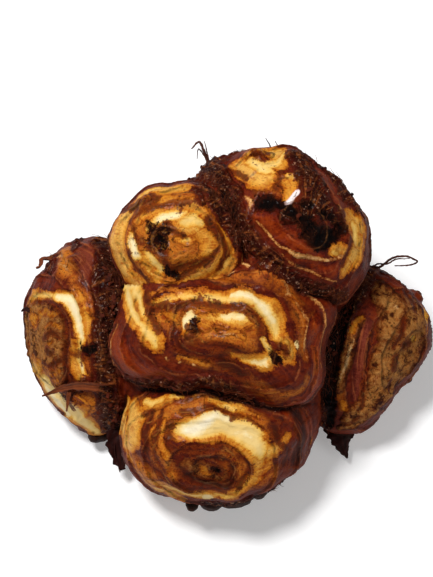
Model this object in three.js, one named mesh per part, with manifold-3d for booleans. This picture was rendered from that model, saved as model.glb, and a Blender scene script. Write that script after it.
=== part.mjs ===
// A many-headed taro corm: one fused clump of starchy heads, each ringed by leaf scars round its bud,
// with the dry leaf scales and rootlets that still hang on it.
// Millimetres, +Z up. The clump lies on its trimmed base, with the crown of heads tipped towards -Y.
import * as THREE from "three";
import { mergeVertices } from "three/addons/utils/BufferGeometryUtils.js";
import Module from "manifold-3d";

const wasm = await Module();
wasm.setup();

// ---- Driving dimensions ----
const CROWN_TIP = THREE.MathUtils.degToRad(28); // the crown's face tips this far from level towards -Y
const CROWN_HEIGHT = 45; // height of the crown frame's origin above the base
const HEAD_SECTORS = 28; // facets round a head
const STOCK_SECTORS = 20; // facets round what joins the heads
const ROOT_ANGLE = Math.PI * 0.55; // how far from the bud a head has leaf scars
const SMOOTH_ANGLE = Math.PI / 9; // facet length where it has none
const SCAR_STEP = 1.2; // how far the edge of a leaf base stands proud of the ring inside it
const SCAR_LIP = 0.02; // half the width of that edge, in radians
const LUMP_HEIGHT = 2.4; // swell of the uneven growth
const LUMP_LENGTH = 42; // distance over which it swells and sinks
const BUD_REACH = 2.6; // how far a side bud stands out
const BUD_SECTORS = 10; // facets round a side bud
const STUB_LENGTH = 4; // how far a cut root stub stands out
const STUB_SECTORS = 8; // facets round a stub
const STRAND_SIDES = 6; // facets round a scrap of husk or a rootlet
const STRAND_STEPS = 3; // rings for each point of its path
const GAP = 0.35; // clearance that keeps a scrap or rootlet off the corm's skin
const WELD = 1e-3; // vertices closer than this are one
const KNIFE = 400; // side of the block that trims the base, wider than the clump

// Places and directions below are in the crown frame: X across, Y up the crown's face, Z out of it.
const crown = new THREE.Matrix4().makeRotationX(CROWN_TIP).setPosition(0, 0, CROWN_HEIGHT);

// at: centre; facing: the way the bud grows; wide: the way the head is widest.
// size: half its width, half its depth across that, and how far the bud stands from the centre.
// taper: how much thinner it gets towards the wide end; square: how far it fills out its corners.
// scars: degrees from the bud to each leaf scar.
const heads = {
  middle: {
    at: [-1, -1, 22], facing: [0, 0.02, 1], wide: [0.98, -0.15, 0], size: [47.5, 29, 31],
    taper: 0, square: 0.2, scars: [9, 26, 44, 62, 78],
  },
  lower: {
    at: [-4.5, -46, 11], facing: [-0.05, -0.46, 0.88], wide: [1, 0.08, 0], size: [44, 32, 32],
    taper: 0.02, square: 0.01, scars: [12, 24, 42, 62, 80],
  },
  upper_left: {
    at: [-20, 38.7, 22], facing: [-0.1, 0.04, 0.98], wide: [1, 0, 0], size: [32.2, 28, 29],
    taper: 0, square: 0, scars: [14, 36, 56, 76],
  },
  upper_right: {
    at: [30.5, 46, 14], facing: [0.13, 0.08, 0.97], wide: [0.75, -0.74, 0], size: [39.5, 30, 32],
    taper: 0, square: 0.04, scars: [16, 36, 54, 74],
  },
  left: {
    at: [-61, -2.5, -15], facing: [-0.78, -0.07, 0.62], wide: [0.1, -1, 0], size: [46.5, 37, 31],
    taper: 0.08, square: 0, scars: [27, 40, 56, 72],
  },
  right: {
    at: [61, -10.5, -17], facing: [0.81, -0.02, 0.56], wide: [-0.48, -0.95, 0], size: [41, 32, 32],
    taper: 0.32, square: 0, scars: [14, 30, 46, 66],
  },
  back_left: {
    at: [-26, 38, -26], facing: [-0.4, 0.8, -0.3], wide: [0.8, 0.5, 0.2], size: [32, 28, 27],
    taper: 0, square: 0, scars: [14, 32, 52, 74],
  },
  back_right: {
    at: [28, 47, -28], facing: [0.35, 0.88, -0.25], wide: [0.9, -0.35, 0], size: [34, 28, 28],
    taper: 0, square: 0, scars: [12, 30, 50, 72],
  },
};

// What joins the heads: the old mother corm behind them, the ridge that the crown grew along,
// the neck between the two upper heads, and the shoulder that the middle head spreads up between them.
const stock = {
  mother: {
    at: [1, 4, -9], facing: [0, 0, 1], wide: [1, 0, 0], size: [58, 57, 42],
    taper: 0, square: 0.05, scars: [],
  },
  ridge: {
    at: [0, -8, 2], facing: [0, 0, 1], wide: [1, 0, 0], size: [47, 66, 33],
    taper: 0, square: 0.1, scars: [],
  },
  neck: {
    at: [5, 63, 6], facing: [0, 0, 1], wide: [1, 0.4, 0], size: [30, 16, 24],
    taper: 0, square: 0.05, scars: [],
  },
  shoulder: {
    at: [14, 19, 19], facing: [0, 0, 1], wide: [1, 0.3, 0], size: [25, 19, 25],
    taper: 0, square: 0.1, scars: [],
  },
};

// Side buds: on which head, degrees out from its main bud, degrees round from its wide way, and radius.
const sideBuds = [
  { on: "middle", out: 18, round: 174, radius: 4.2 },
  { on: "middle", out: 35, round: 0, radius: 6 },
  { on: "upper_left", out: 45, round: 117, radius: 4.5 },
  { on: "upper_right", out: 67, round: 160, radius: 5 },
  { on: "left", out: 58, round: 150, radius: 4.5 },
  { on: "right", out: 50, round: 165, radius: 4.5 },
  { on: "back_left", out: 46, round: 60, radius: 5 },
  { on: "back_right", out: 52, round: 100, radius: 4.5 },
];

// Half the outline of a side bud of unit radius and reach: a buried root, a rim, a groove and a tip.
const budOutline = [[0, -4], [1.1, -4], [1.1, 0.1], [0.8, 0.6], [0.62, 0.4], [0.4, 0.9], [0, 1.05]];

// Cut root stubs: degrees round the clump from +X, height above the base, and radius.
const stubs = [
  [-118, 10, 3], [-101, 22, 3.5], [-93, 21, 5.5], [-87, 20, 6.5], [-77.5, 21, 4.5], [-66, 10, 3],
  [-148, 9, 3.5], [-33, 10, 3.5], [-6, 12, 3], [176, 10, 3.5],
  [140, 12, 4], [112, 9, 4.5], [88, 13, 4], [61, 10, 4.5], [34, 12, 3.5],
];

// Dry scraps of old leaf bases that still hang on the clump, each with its root in the skin.
// path: points from root to tip; face: the way its flat side looks; across, thick: its largest size.
const husks = {
  left_leaf_scale: {
    path: [
      [-51, -25, 12], [-58, -25, 17], [-66, -24.5, 15],
      [-74, -26, 10], [-80, -28.5, 6], [-85, -30.5, 4],
    ],
    face: [-0.3, -0.5, 0.8], across: 5, thick: 0.9,
  },
  left_tatter: {
    path: [[-70, -25, 4], [-71.5, -28, 9], [-72.5, -33, 7.5], [-73.5, -37.5, 5]],
    face: [-0.4, -0.6, 0.7], across: 2.6, thick: 0.8,
  },
  left_curl: {
    path: [[-78, 31, -6], [-83, 33, -5], [-86, 33, -5], [-87, 30, -4], [-89, 29, -4]],
    face: [0, 1, 0.3], across: 4, thick: 1,
  },
  lower_left_husk: {
    path: [[-40, -44, -4], [-49, -47, -3], [-52, -52, -3], [-50.5, -59, -4], [-48, -66, -4]],
    face: [-0.8, -0.5, 0.2], across: 5, thick: 1.2,
  },
  lower_right_husk: {
    path: [[53, -42, -14], [54.5, -50, -11], [56, -56, -11], [58.5, -61.5, -12]],
    face: [0, -0.3, 1], across: 7, thick: 1.4,
  },
  upper_right_husk: {
    path: [[41, 68, 24], [45, 73, 28], [50, 70, 29], [55, 64, 28], [60, 57, 27], [64, 50, 24]],
    face: [0.6, 0.6, 0.5], across: 5, thick: 1.2,
  },
};

// Rootlets, in the same way.
const rootlets = {
  crown_rootlet: {
    path: [[-5, 64, 3], [-7.5, 76, 3], [-9, 81, 4], [-12, 87.5, 5], [-15.5, 84, 6]],
    face: [0, 0, 1], across: 1.5, thick: 1.3,
  },
  right_rootlet: {
    path: [
      [66, 24, -6], [69, 29.5, -5], [73, 29.5, -4], [78.5, 33.5, -4],
      [84.5, 34.6, -5], [91, 32.5, -6], [87, 30.4, -6], [80, 30.2, -5],
    ],
    face: [0, 0, 1], across: 1.2, thick: 1.1,
  },
};

const alongAxes = (direction) => new THREE.Vector3(...direction).normalize();
const union = (solids) => solids.reduce((whole, next) => whole.add(next));

// Uneven growth: three crossed waves, which don't repeat over the length of the clump.
function swell(x, y, z) {
  const wave = (along, start) => Math.sin((2 * Math.PI * along) / LUMP_LENGTH + start);
  return (wave(x + 0.4 * y, 0) + wave(0.9 * y - 0.5 * z, 1.3) + 0.6 * wave(2.3 * z + 1.1 * x, 2.1)) / 2.6;
}

function lumped(geometry) {
  const position = geometry.attributes.position;
  for (let i = 0; i < position.count; i += 1) {
    const [x, y, z] = [position.getX(i), position.getY(i), position.getZ(i)];
    position.setXYZ(
      i,
      x + LUMP_HEIGHT * swell(x, y, z),
      y + LUMP_HEIGHT * swell(y + 7, z, x),
      z + LUMP_HEIGHT * swell(z + 31, x, y),
    );
  }
  return geometry;
}

// Half the outline of a head of unit radius, from its root up to its bud, stepped at each leaf scar.
function outline(scars, step) {
  const points = [];
  const turn = (angle, radius) =>
    points.push(new THREE.Vector2(radius * Math.sin(angle), radius * Math.cos(angle)));
  const edges = [...scars.map(THREE.MathUtils.degToRad), ROOT_ANGLE];
  for (let angle = Math.PI; angle > ROOT_ANGLE; angle -= SMOOTH_ANGLE) turn(angle, 1);
  for (let i = edges.length - 1; i > 0; i -= 1) {
    turn(edges[i] - SCAR_LIP, 1);
    turn((edges[i] + edges[i - 1]) / 2, 1 + step * 0.6);
    turn(edges[i - 1] + SCAR_LIP, 1 + step);
  }
  if (scars.length) {
    turn(edges[0] - SCAR_LIP, 1 - step);
    turn(edges[0] * 0.6, 1 + step * 0.4);
  } else {
    for (let angle = ROOT_ANGLE; angle > SMOOTH_ANGLE / 2; angle -= SMOOTH_ANGLE) turn(angle, 1);
  }
  turn(0, 1 + step);
  points[0].x = 0;
  points.at(-1).x = 0;
  return points;
}

function solidOf(geometry) {
  geometry.deleteAttribute("normal");
  geometry.deleteAttribute("uv");
  const merged = mergeVertices(geometry, WELD);
  return new wasm.Manifold(
    new wasm.Mesh({
      numProp: 3,
      vertProperties: merged.attributes.position.array,
      triVerts: new Uint32Array(merged.index.array),
    }),
  );
}

function geometryOf(solid) {
  const mesh = solid.getMesh();
  return new THREE.BufferGeometry()
    .setAttribute("position", new THREE.BufferAttribute(new Float32Array(mesh.vertProperties), 3))
    .setIndex(new THREE.BufferAttribute(new Uint32Array(mesh.triVerts), 1));
}

// The frame of a head: its local X is the wide way, Y the way its bud grows, each as long as its size.
function headFrame({ at, facing, wide, size }) {
  const axis = alongAxes(facing);
  const depth = new THREE.Vector3(...wide).cross(axis).normalize();
  const width = axis.clone().cross(depth);
  const [halfWidth, halfDepth, reach] = size;
  return new THREE.Matrix4()
    .makeBasis(width, axis, depth)
    .scale(new THREE.Vector3(halfWidth, reach, halfDepth))
    .setPosition(...at);
}

// A head as a solid in the crown frame: its outline turned about the bud's axis, stretched and lumped.
function headSolid(head) {
  const sectors = head.scars.length ? HEAD_SECTORS : STOCK_SECTORS;
  const geometry = new THREE.LatheGeometry(outline(head.scars, SCAR_STEP / head.size[2]), sectors);
  const position = geometry.attributes.position;
  for (let i = 0; i < position.count; i += 1) {
    const [x, y, z] = [position.getX(i), position.getY(i), position.getZ(i)];
    const narrowed = 1 - head.taper * x;
    const cornered = (2 * x * z) / Math.max(x * x + z * z, WELD);
    const filled = 1 + head.square * cornered ** 2;
    position.setXYZ(i, x * filled, y * narrowed, z * narrowed * filled);
  }
  return solidOf(lumped(geometry.applyMatrix4(headFrame(head))));
}

// A side bud: a low ringed nub that stands square on the skin of its head, its root buried in it.
function budSolid({ on, out, round, radius }) {
  const [a, b] = [out, round].map(THREE.MathUtils.degToRad);
  const head = heads[on];
  const local = new THREE.Vector3(Math.sin(a) * Math.cos(b), Math.cos(a), -Math.sin(a) * Math.sin(b));
  const foot = local.clone().applyMatrix4(headFrame(head));
  const [halfWidth, halfDepth, reach] = head.size;
  const away = local
    .divide(new THREE.Vector3(halfWidth, reach, halfDepth))
    .transformDirection(headFrame({ ...head, size: [1, 1, 1] }));
  const profile = budOutline.map(([across, up]) => new THREE.Vector2(across * radius, up * BUD_REACH));
  return solidOf(lumped(standing(new THREE.LatheGeometry(profile, BUD_SECTORS), foot, away)));
}

// A shape that was made standing along Y, moved to stand on `foot` and point `away`.
function standing(geometry, foot, away) {
  const turn = new THREE.Quaternion().setFromUnitVectors(new THREE.Vector3(0, 1, 0), away);
  return geometry.applyMatrix4(new THREE.Matrix4().compose(foot, turn, new THREE.Vector3(1, 1, 1)));
}

// A stub grows out of the skin where a level ray from the middle of the clump leaves it.
function stubSolid([round, height, radius], skin) {
  const angle = THREE.MathUtils.degToRad(round);
  const away = new THREE.Vector3(Math.cos(angle), Math.sin(angle), 0);
  const ray = new THREE.Raycaster(new THREE.Vector3(0, 0, height), away);
  const foot = ray.intersectObject(skin).at(-1).point;
  const geometry = new THREE.CylinderGeometry(radius * 0.5, radius, STUB_LENGTH * 2, STUB_SECTORS, 1);
  return solidOf(standing(geometry, foot, away));
}

// The whole grown clump, with its underside trimmed flat at the base.
function cormSolid() {
  const grown = [...Object.values(stock), ...Object.values(heads)].map(headSolid);
  const clump = union([...grown, ...sideBuds.map(budSolid)]).transform(crown.toArray());
  const skin = new THREE.Mesh(geometryOf(clump), new THREE.MeshBasicMaterial({ side: THREE.DoubleSide }));
  const rooted = union([clump, ...stubs.map((stub) => stubSolid(stub, skin))]);
  return rooted.subtract(solidOf(new THREE.BoxGeometry(KNIFE, KNIFE, KNIFE).translate(0, 0, -KNIFE / 2)));
}

// A scrap as a solid in the crown frame: a round bar bent along its path, flattened, thin at its tip.
function strandSolid({ path, face, across, thick }) {
  const curve = new THREE.CatmullRomCurve3(path.map((point) => new THREE.Vector3(...point)));
  const bar = new THREE.CylinderGeometry(1, 1, 1, STRAND_SIDES, path.length * STRAND_STEPS);
  const position = bar.attributes.position;
  for (let i = 0; i < position.count; i += 1) {
    const along = position.getY(i) + 0.5;
    const tangent = curve.getTangentAt(along);
    const side = tangent.clone().cross(alongAxes(face)).normalize();
    const over = side.clone().cross(tangent);
    const width = Math.sin(Math.PI * (0.25 + 0.7 * along));
    const point = curve.getPointAt(along);
    point.addScaledVector(side, (position.getX(i) * width * across) / 2);
    point.addScaledVector(over, (position.getZ(i) * width * thick) / 2);
    position.setXYZ(i, point.x, point.y, point.z);
  }
  return solidOf(bar);
}

// The scrap placed on the clump and trimmed to sit just clear of its skin.
function seatedSolid(scrap, clump) {
  const away = alongAxes(scrap.face).transformDirection(crown).multiplyScalar(GAP);
  const skin = clump.translate(away.toArray()).add(clump);
  return strandSolid(scrap).transform(crown.toArray()).subtract(skin);
}

const taro = new THREE.Group();

function addPiece(name, solid, color, roughness) {
  const material = new THREE.MeshStandardMaterial({ color, roughness, metalness: 0 });
  const piece = new THREE.Mesh(geometryOf(solid), material);
  piece.name = name;
  taro.add(piece);
}

const corm = cormSolid();
addPiece("corm", corm, "#6b3a1c", 0.55);
for (const [name, husk] of Object.entries(husks)) {
  addPiece(name, seatedSolid(husk, corm), "#35170f", 0.8);
}
for (const [name, rootlet] of Object.entries(rootlets)) {
  addPiece(name, seatedSolid(rootlet, corm), "#4a2a1c", 0.8);
}

// The model's origin is the middle of the footprint, on the surface that the clump rests on.
const extent = new THREE.Box3().setFromObject(taro);
const middle = extent.getCenter(new THREE.Vector3());
taro.position.set(-middle.x, -middle.y, -extent.min.z);

export default taro;
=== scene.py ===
import math

import bmesh
import bpy
import numpy as np
from mathutils import Matrix, Vector, noise
from mathutils.bvhtree import BVHTree


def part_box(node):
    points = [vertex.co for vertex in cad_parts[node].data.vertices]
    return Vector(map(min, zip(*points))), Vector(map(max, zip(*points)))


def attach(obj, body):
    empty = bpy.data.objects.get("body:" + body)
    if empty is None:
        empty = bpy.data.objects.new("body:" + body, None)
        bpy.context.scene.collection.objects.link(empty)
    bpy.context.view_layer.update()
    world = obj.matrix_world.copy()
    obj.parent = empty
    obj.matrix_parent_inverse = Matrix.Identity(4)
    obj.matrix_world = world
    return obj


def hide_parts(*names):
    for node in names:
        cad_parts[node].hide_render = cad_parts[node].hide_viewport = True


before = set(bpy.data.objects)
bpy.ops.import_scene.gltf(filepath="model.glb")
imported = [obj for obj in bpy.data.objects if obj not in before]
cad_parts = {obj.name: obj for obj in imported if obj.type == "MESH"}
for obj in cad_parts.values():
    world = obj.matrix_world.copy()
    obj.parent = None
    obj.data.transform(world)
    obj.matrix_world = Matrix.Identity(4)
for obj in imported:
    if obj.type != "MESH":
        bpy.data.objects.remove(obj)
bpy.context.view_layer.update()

MM = 0.001
SEED = 7
noise.seed_set(SEED)

# ---- The clump's own frame ----
# Places and directions on the clump are in the crown frame, in millimetres: X across, Y up the crown's
# face, Z out of it. CROWN_OFFSET is its origin, from the middle of the corm's footprint.
CROWN_TIP = math.radians(28)
CROWN_OFFSET = Vector((-0.71, -2.16, 45.0)) * MM
corm_low, corm_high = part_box("corm")
FOOTPRINT = Vector(((corm_low.x + corm_high.x) / 2, (corm_low.y + corm_high.y) / 2, corm_low.z))
CROWN = Matrix.Translation(FOOTPRINT + CROWN_OFFSET) @ Matrix.Rotation(CROWN_TIP, 4, "X")
CROWN_TURN = np.array(CROWN.to_3x3())
CROWN_ORIGIN = np.array(CROWN.translation)

LUMP_HEIGHT = 2.4  # swell of the uneven growth
LUMP_LENGTH = 42.0  # distance over which it swells and sinks
SKIN_STEP = 1.08  # spacing of the corm's surface points
SCAR_STEP = 1.1  # how far the lip of a leaf scar stands proud
SCAR_FADE = 4.5  # distance over which the skin outside a lip sinks back
BUD_REACH = 2.4  # how far a side bud stands out
STUB_LENGTH = 3.6  # how far a cut root stub stands out


def to_row(points):
    """Crown-frame points in millimetres, as row-frame points in metres."""
    return np.asarray(points, float) @ CROWN_TURN.T * MM + CROWN_ORIGIN


def to_crown(points):
    """Row-frame points in metres, as crown-frame points in millimetres."""
    return (np.asarray(points, float) - CROWN_ORIGIN) @ CROWN_TURN / MM


def unit(vector):
    vector = np.asarray(vector, float)
    return vector / np.linalg.norm(vector)


def swell(x, y, z):
    """Three crossed waves, which don't repeat over the length of the clump."""

    def wave(along, start):
        return np.sin(2 * math.pi * along / LUMP_LENGTH + start)

    return (wave(x + 0.4 * y, 0) + wave(0.9 * y - 0.5 * z, 1.3) + 0.6 * wave(2.3 * z + 1.1 * x, 2.1)) / 2.6


def lumps(points):
    """How far the uneven growth moves each point."""
    x, y, z = points.T
    return LUMP_HEIGHT * np.stack([swell(x, y, z), swell(y + 7, z, x), swell(z + 31, x, y)], 1)


class Head:
    """A swollen head of the clump, with its bud at the end of `facing` and its leaf scars round it."""

    def __init__(self, at, facing, wide, size, taper=0.0, square=0.0, scars=()):
        self.at = np.array(at, float)
        self.axis = unit(facing)
        self.depth = unit(np.cross(wide, self.axis))
        self.width = np.cross(self.axis, self.depth)
        self.half_width, self.half_depth, self.reach = size
        self.taper = taper
        self.square = square
        self.scars = scars

    def place(self, unit_points):
        """Points of a unit ball, as points of the head."""
        x, y, z = unit_points.T
        narrowed = 1 - self.taper * x
        cornered = 2 * x * z / np.maximum(x * x + z * z, 1e-3)
        filled = 1 + self.square * cornered**2
        stretched = (
            self.at
            + np.outer(x * filled * self.half_width, self.width)
            + np.outer(y * narrowed * self.reach, self.axis)
            + np.outer(z * narrowed * filled * self.half_depth, self.depth)
        )
        return stretched + lumps(stretched)

    def read(self, points):
        """For points near the skin: height over it in millimetres, angle from the bud, and angle round it."""
        even = points - lumps(points - lumps(points))
        from_middle = even - self.at
        far_x = from_middle @ self.width / self.half_width
        far_y = from_middle @ self.axis / self.reach
        far_z = from_middle @ self.depth / self.half_depth
        x, y, z = far_x, far_y, far_z
        for _ in range(3):
            narrowed = np.maximum(1 - self.taper * x, 0.3)
            cornered = 2 * x * z / np.maximum(x * x + z * z, 1e-3)
            filled = 1 + self.square * cornered**2
            x, y, z = far_x / filled, far_y / narrowed, far_z / (narrowed * filled)
        level = np.sqrt(x * x + y * y + z * z)
        height = (level - 1) * np.linalg.norm(from_middle, axis=1) / np.maximum(level, 0.2)
        return height, np.arctan2(np.hypot(x, z), y), np.arctan2(-z, x)

    def flat(self, out, round_):
        """Places on the skin laid flat round the bud, in millimetres: rightwards and upwards."""
        return out * np.cos(round_) * self.half_width, out * np.sin(round_) * self.half_depth


HEADS = {
    "middle": Head([-1, -1, 22], [0, 0.02, 1], [0.98, -0.15, 0], [47.5, 29, 31], 0, 0.2, [27, 44, 62, 78]),
    "lower": Head(
        [-4.5, -46, 11], [-0.05, -0.46, 0.88], [1, 0.08, 0], [44, 32, 32], 0.02, 0.01, [12, 24, 42, 62, 80]
    ),
    "upper_left": Head(
        [-20, 38.7, 22], [-0.1, 0.04, 0.98], [1, 0, 0], [32.2, 28, 29], 0, 0, [14, 36, 56, 76]
    ),
    "upper_right": Head(
        [30.5, 46, 14], [0.13, 0.08, 0.97], [0.75, -0.74, 0], [39.5, 30, 32], 0, 0.04, [16, 36, 54, 74]
    ),
    "left": Head(
        [-61, -2.5, -15], [-0.78, -0.07, 0.62], [0.1, -1, 0], [46.5, 37, 31], 0.08, 0, [27, 40, 56, 72]
    ),
    "right": Head(
        [61, -10.5, -17], [0.81, -0.02, 0.56], [-0.48, -0.95, 0], [41, 32, 32], 0.32, 0, [14, 30, 46, 66]
    ),
    "back_left": Head(
        [-26, 38, -26], [-0.4, 0.8, -0.3], [0.8, 0.5, 0.2], [32, 28, 27], 0, 0, [14, 32, 52, 74]
    ),
    "back_right": Head(
        [28, 47, -28], [0.35, 0.88, -0.25], [0.9, -0.35, 0], [34, 28, 28], 0, 0, [12, 30, 50, 72]
    ),
}
STOCK = {
    "mother": Head([1, 4, -9], [0, 0, 1], [1, 0, 0], [58, 57, 42], 0, 0.05),
    "ridge": Head([0, -8, 2], [0, 0, 1], [1, 0, 0], [47, 66, 33], 0, 0.1),
    "neck": Head([5, 63, 6], [0, 0, 1], [1, 0.4, 0], [30, 16, 24], 0, 0.05),
    "shoulder": Head([14, 19, 19], [0, 0, 1], [1, 0.3, 0], [25, 19, 25], 0, 0.1),
}


def mesh_object(name, points, faces):
    """A mesh object at the origin, from row-frame points in metres."""
    mesh = bpy.data.meshes.new(name)
    mesh.from_pydata([tuple(p) for p in points], [], faces)
    mesh.update()
    piece = bpy.data.objects.new(name, mesh)
    bpy.context.scene.collection.objects.link(piece)
    return piece


def coordinates(mesh):
    flat = np.empty(len(mesh.vertices) * 3)
    mesh.vertices.foreach_get("co", flat)
    return flat.reshape(-1, 3)


def ball(sides, rings):
    """Points and faces of a closed unit ball with its poles on Y."""
    out, round_ = np.meshgrid(
        np.linspace(0, math.pi, rings + 1)[1:-1], np.arange(sides) * 2 * math.pi / sides, indexing="ij"
    )
    out, round_ = out.ravel(), round_.ravel()
    points = np.stack([np.sin(out) * np.cos(round_), np.cos(out), np.sin(out) * np.sin(round_)], 1)
    points = np.vstack([points, [[0, 1, 0], [0, -1, 0]]])
    top, bottom = len(points) - 2, len(points) - 1
    faces = []
    for i in range(sides):
        j = (i + 1) % sides
        last = (rings - 2) * sides
        faces.append((top, j, i))
        faces.append((bottom, last + i, last + j))
        for ring in range(rings - 2):
            a, b = ring * sides, (ring + 1) * sides
            faces.append((a + i, a + j, b + j, b + i))
    return points, faces


def grown_form():
    """The heads and what joins them, merged into one closed surface of evenly spaced points."""
    unit_points, unit_faces = ball(96, 64)
    points, faces = [], []
    for head in [*STOCK.values(), *HEADS.values()]:
        start = len(points) * len(unit_points)
        points.append(to_row(head.place(unit_points)))
        faces += [tuple(start + corner for corner in face) for face in unit_faces]
    form = mesh_object("grown_form", np.vstack(points), faces)
    remesh = form.modifiers.new("merge", "REMESH")
    remesh.mode = "VOXEL"
    remesh.voxel_size = SKIN_STEP * MM
    return plain_copy(form, "grown_form")


def plain_copy(piece, name):
    """The piece with its modifiers applied, as a new plain object. The old one is removed."""
    bpy.context.view_layer.update()
    graph = bpy.context.evaluated_depsgraph_get()
    mesh = bpy.data.meshes.new_from_object(
        piece.evaluated_get(graph), preserve_all_data_layers=True, depsgraph=graph
    )
    bpy.data.objects.remove(piece)
    mesh.name = name
    result = bpy.data.objects.new(name, mesh)
    bpy.context.scene.collection.objects.link(result)
    return result


# ---- What grows on the heads ----
# Side buds: on which head, degrees out from its main bud, degrees round from its wide way, and radius.
SIDE_BUDS = [
    ("middle", 15, 186, 4.2),
    ("middle", 35, 0, 6.0),
    ("upper_left", 45, 117, 4.5),
    ("upper_right", 67, 160, 5.0),
    ("left", 58, 150, 4.5),
    ("right", 50, 165, 4.5),
    ("back_left", 46, 60, 5.0),
    ("back_right", 52, 100, 4.5),
]
BUD_RISE = ([0, 0.4, 0.62, 0.8, 1.1, 1.35], [1.05, 0.9, 0.35, 0.6, 0.1, 0])  # rise, against radius

# Cut root stubs: degrees round the clump from +X, height above the base, and radius.
STUBS = [
    (-118, 10, 3), (-101, 22, 2.6), (-95, 21, 4.5), (-88, 18.5, 8.5), (-78, 21, 4.2), (-66, 10, 3),
    (-148, 9, 3.5), (-33, 10, 3.5), (-6, 12, 3), (176, 10, 3.5),
    (140, 12, 4), (112, 9, 4.5), (88, 13, 4), (61, 10, 4.5), (34, 12, 3.5),
]  # fmt: skip

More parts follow.
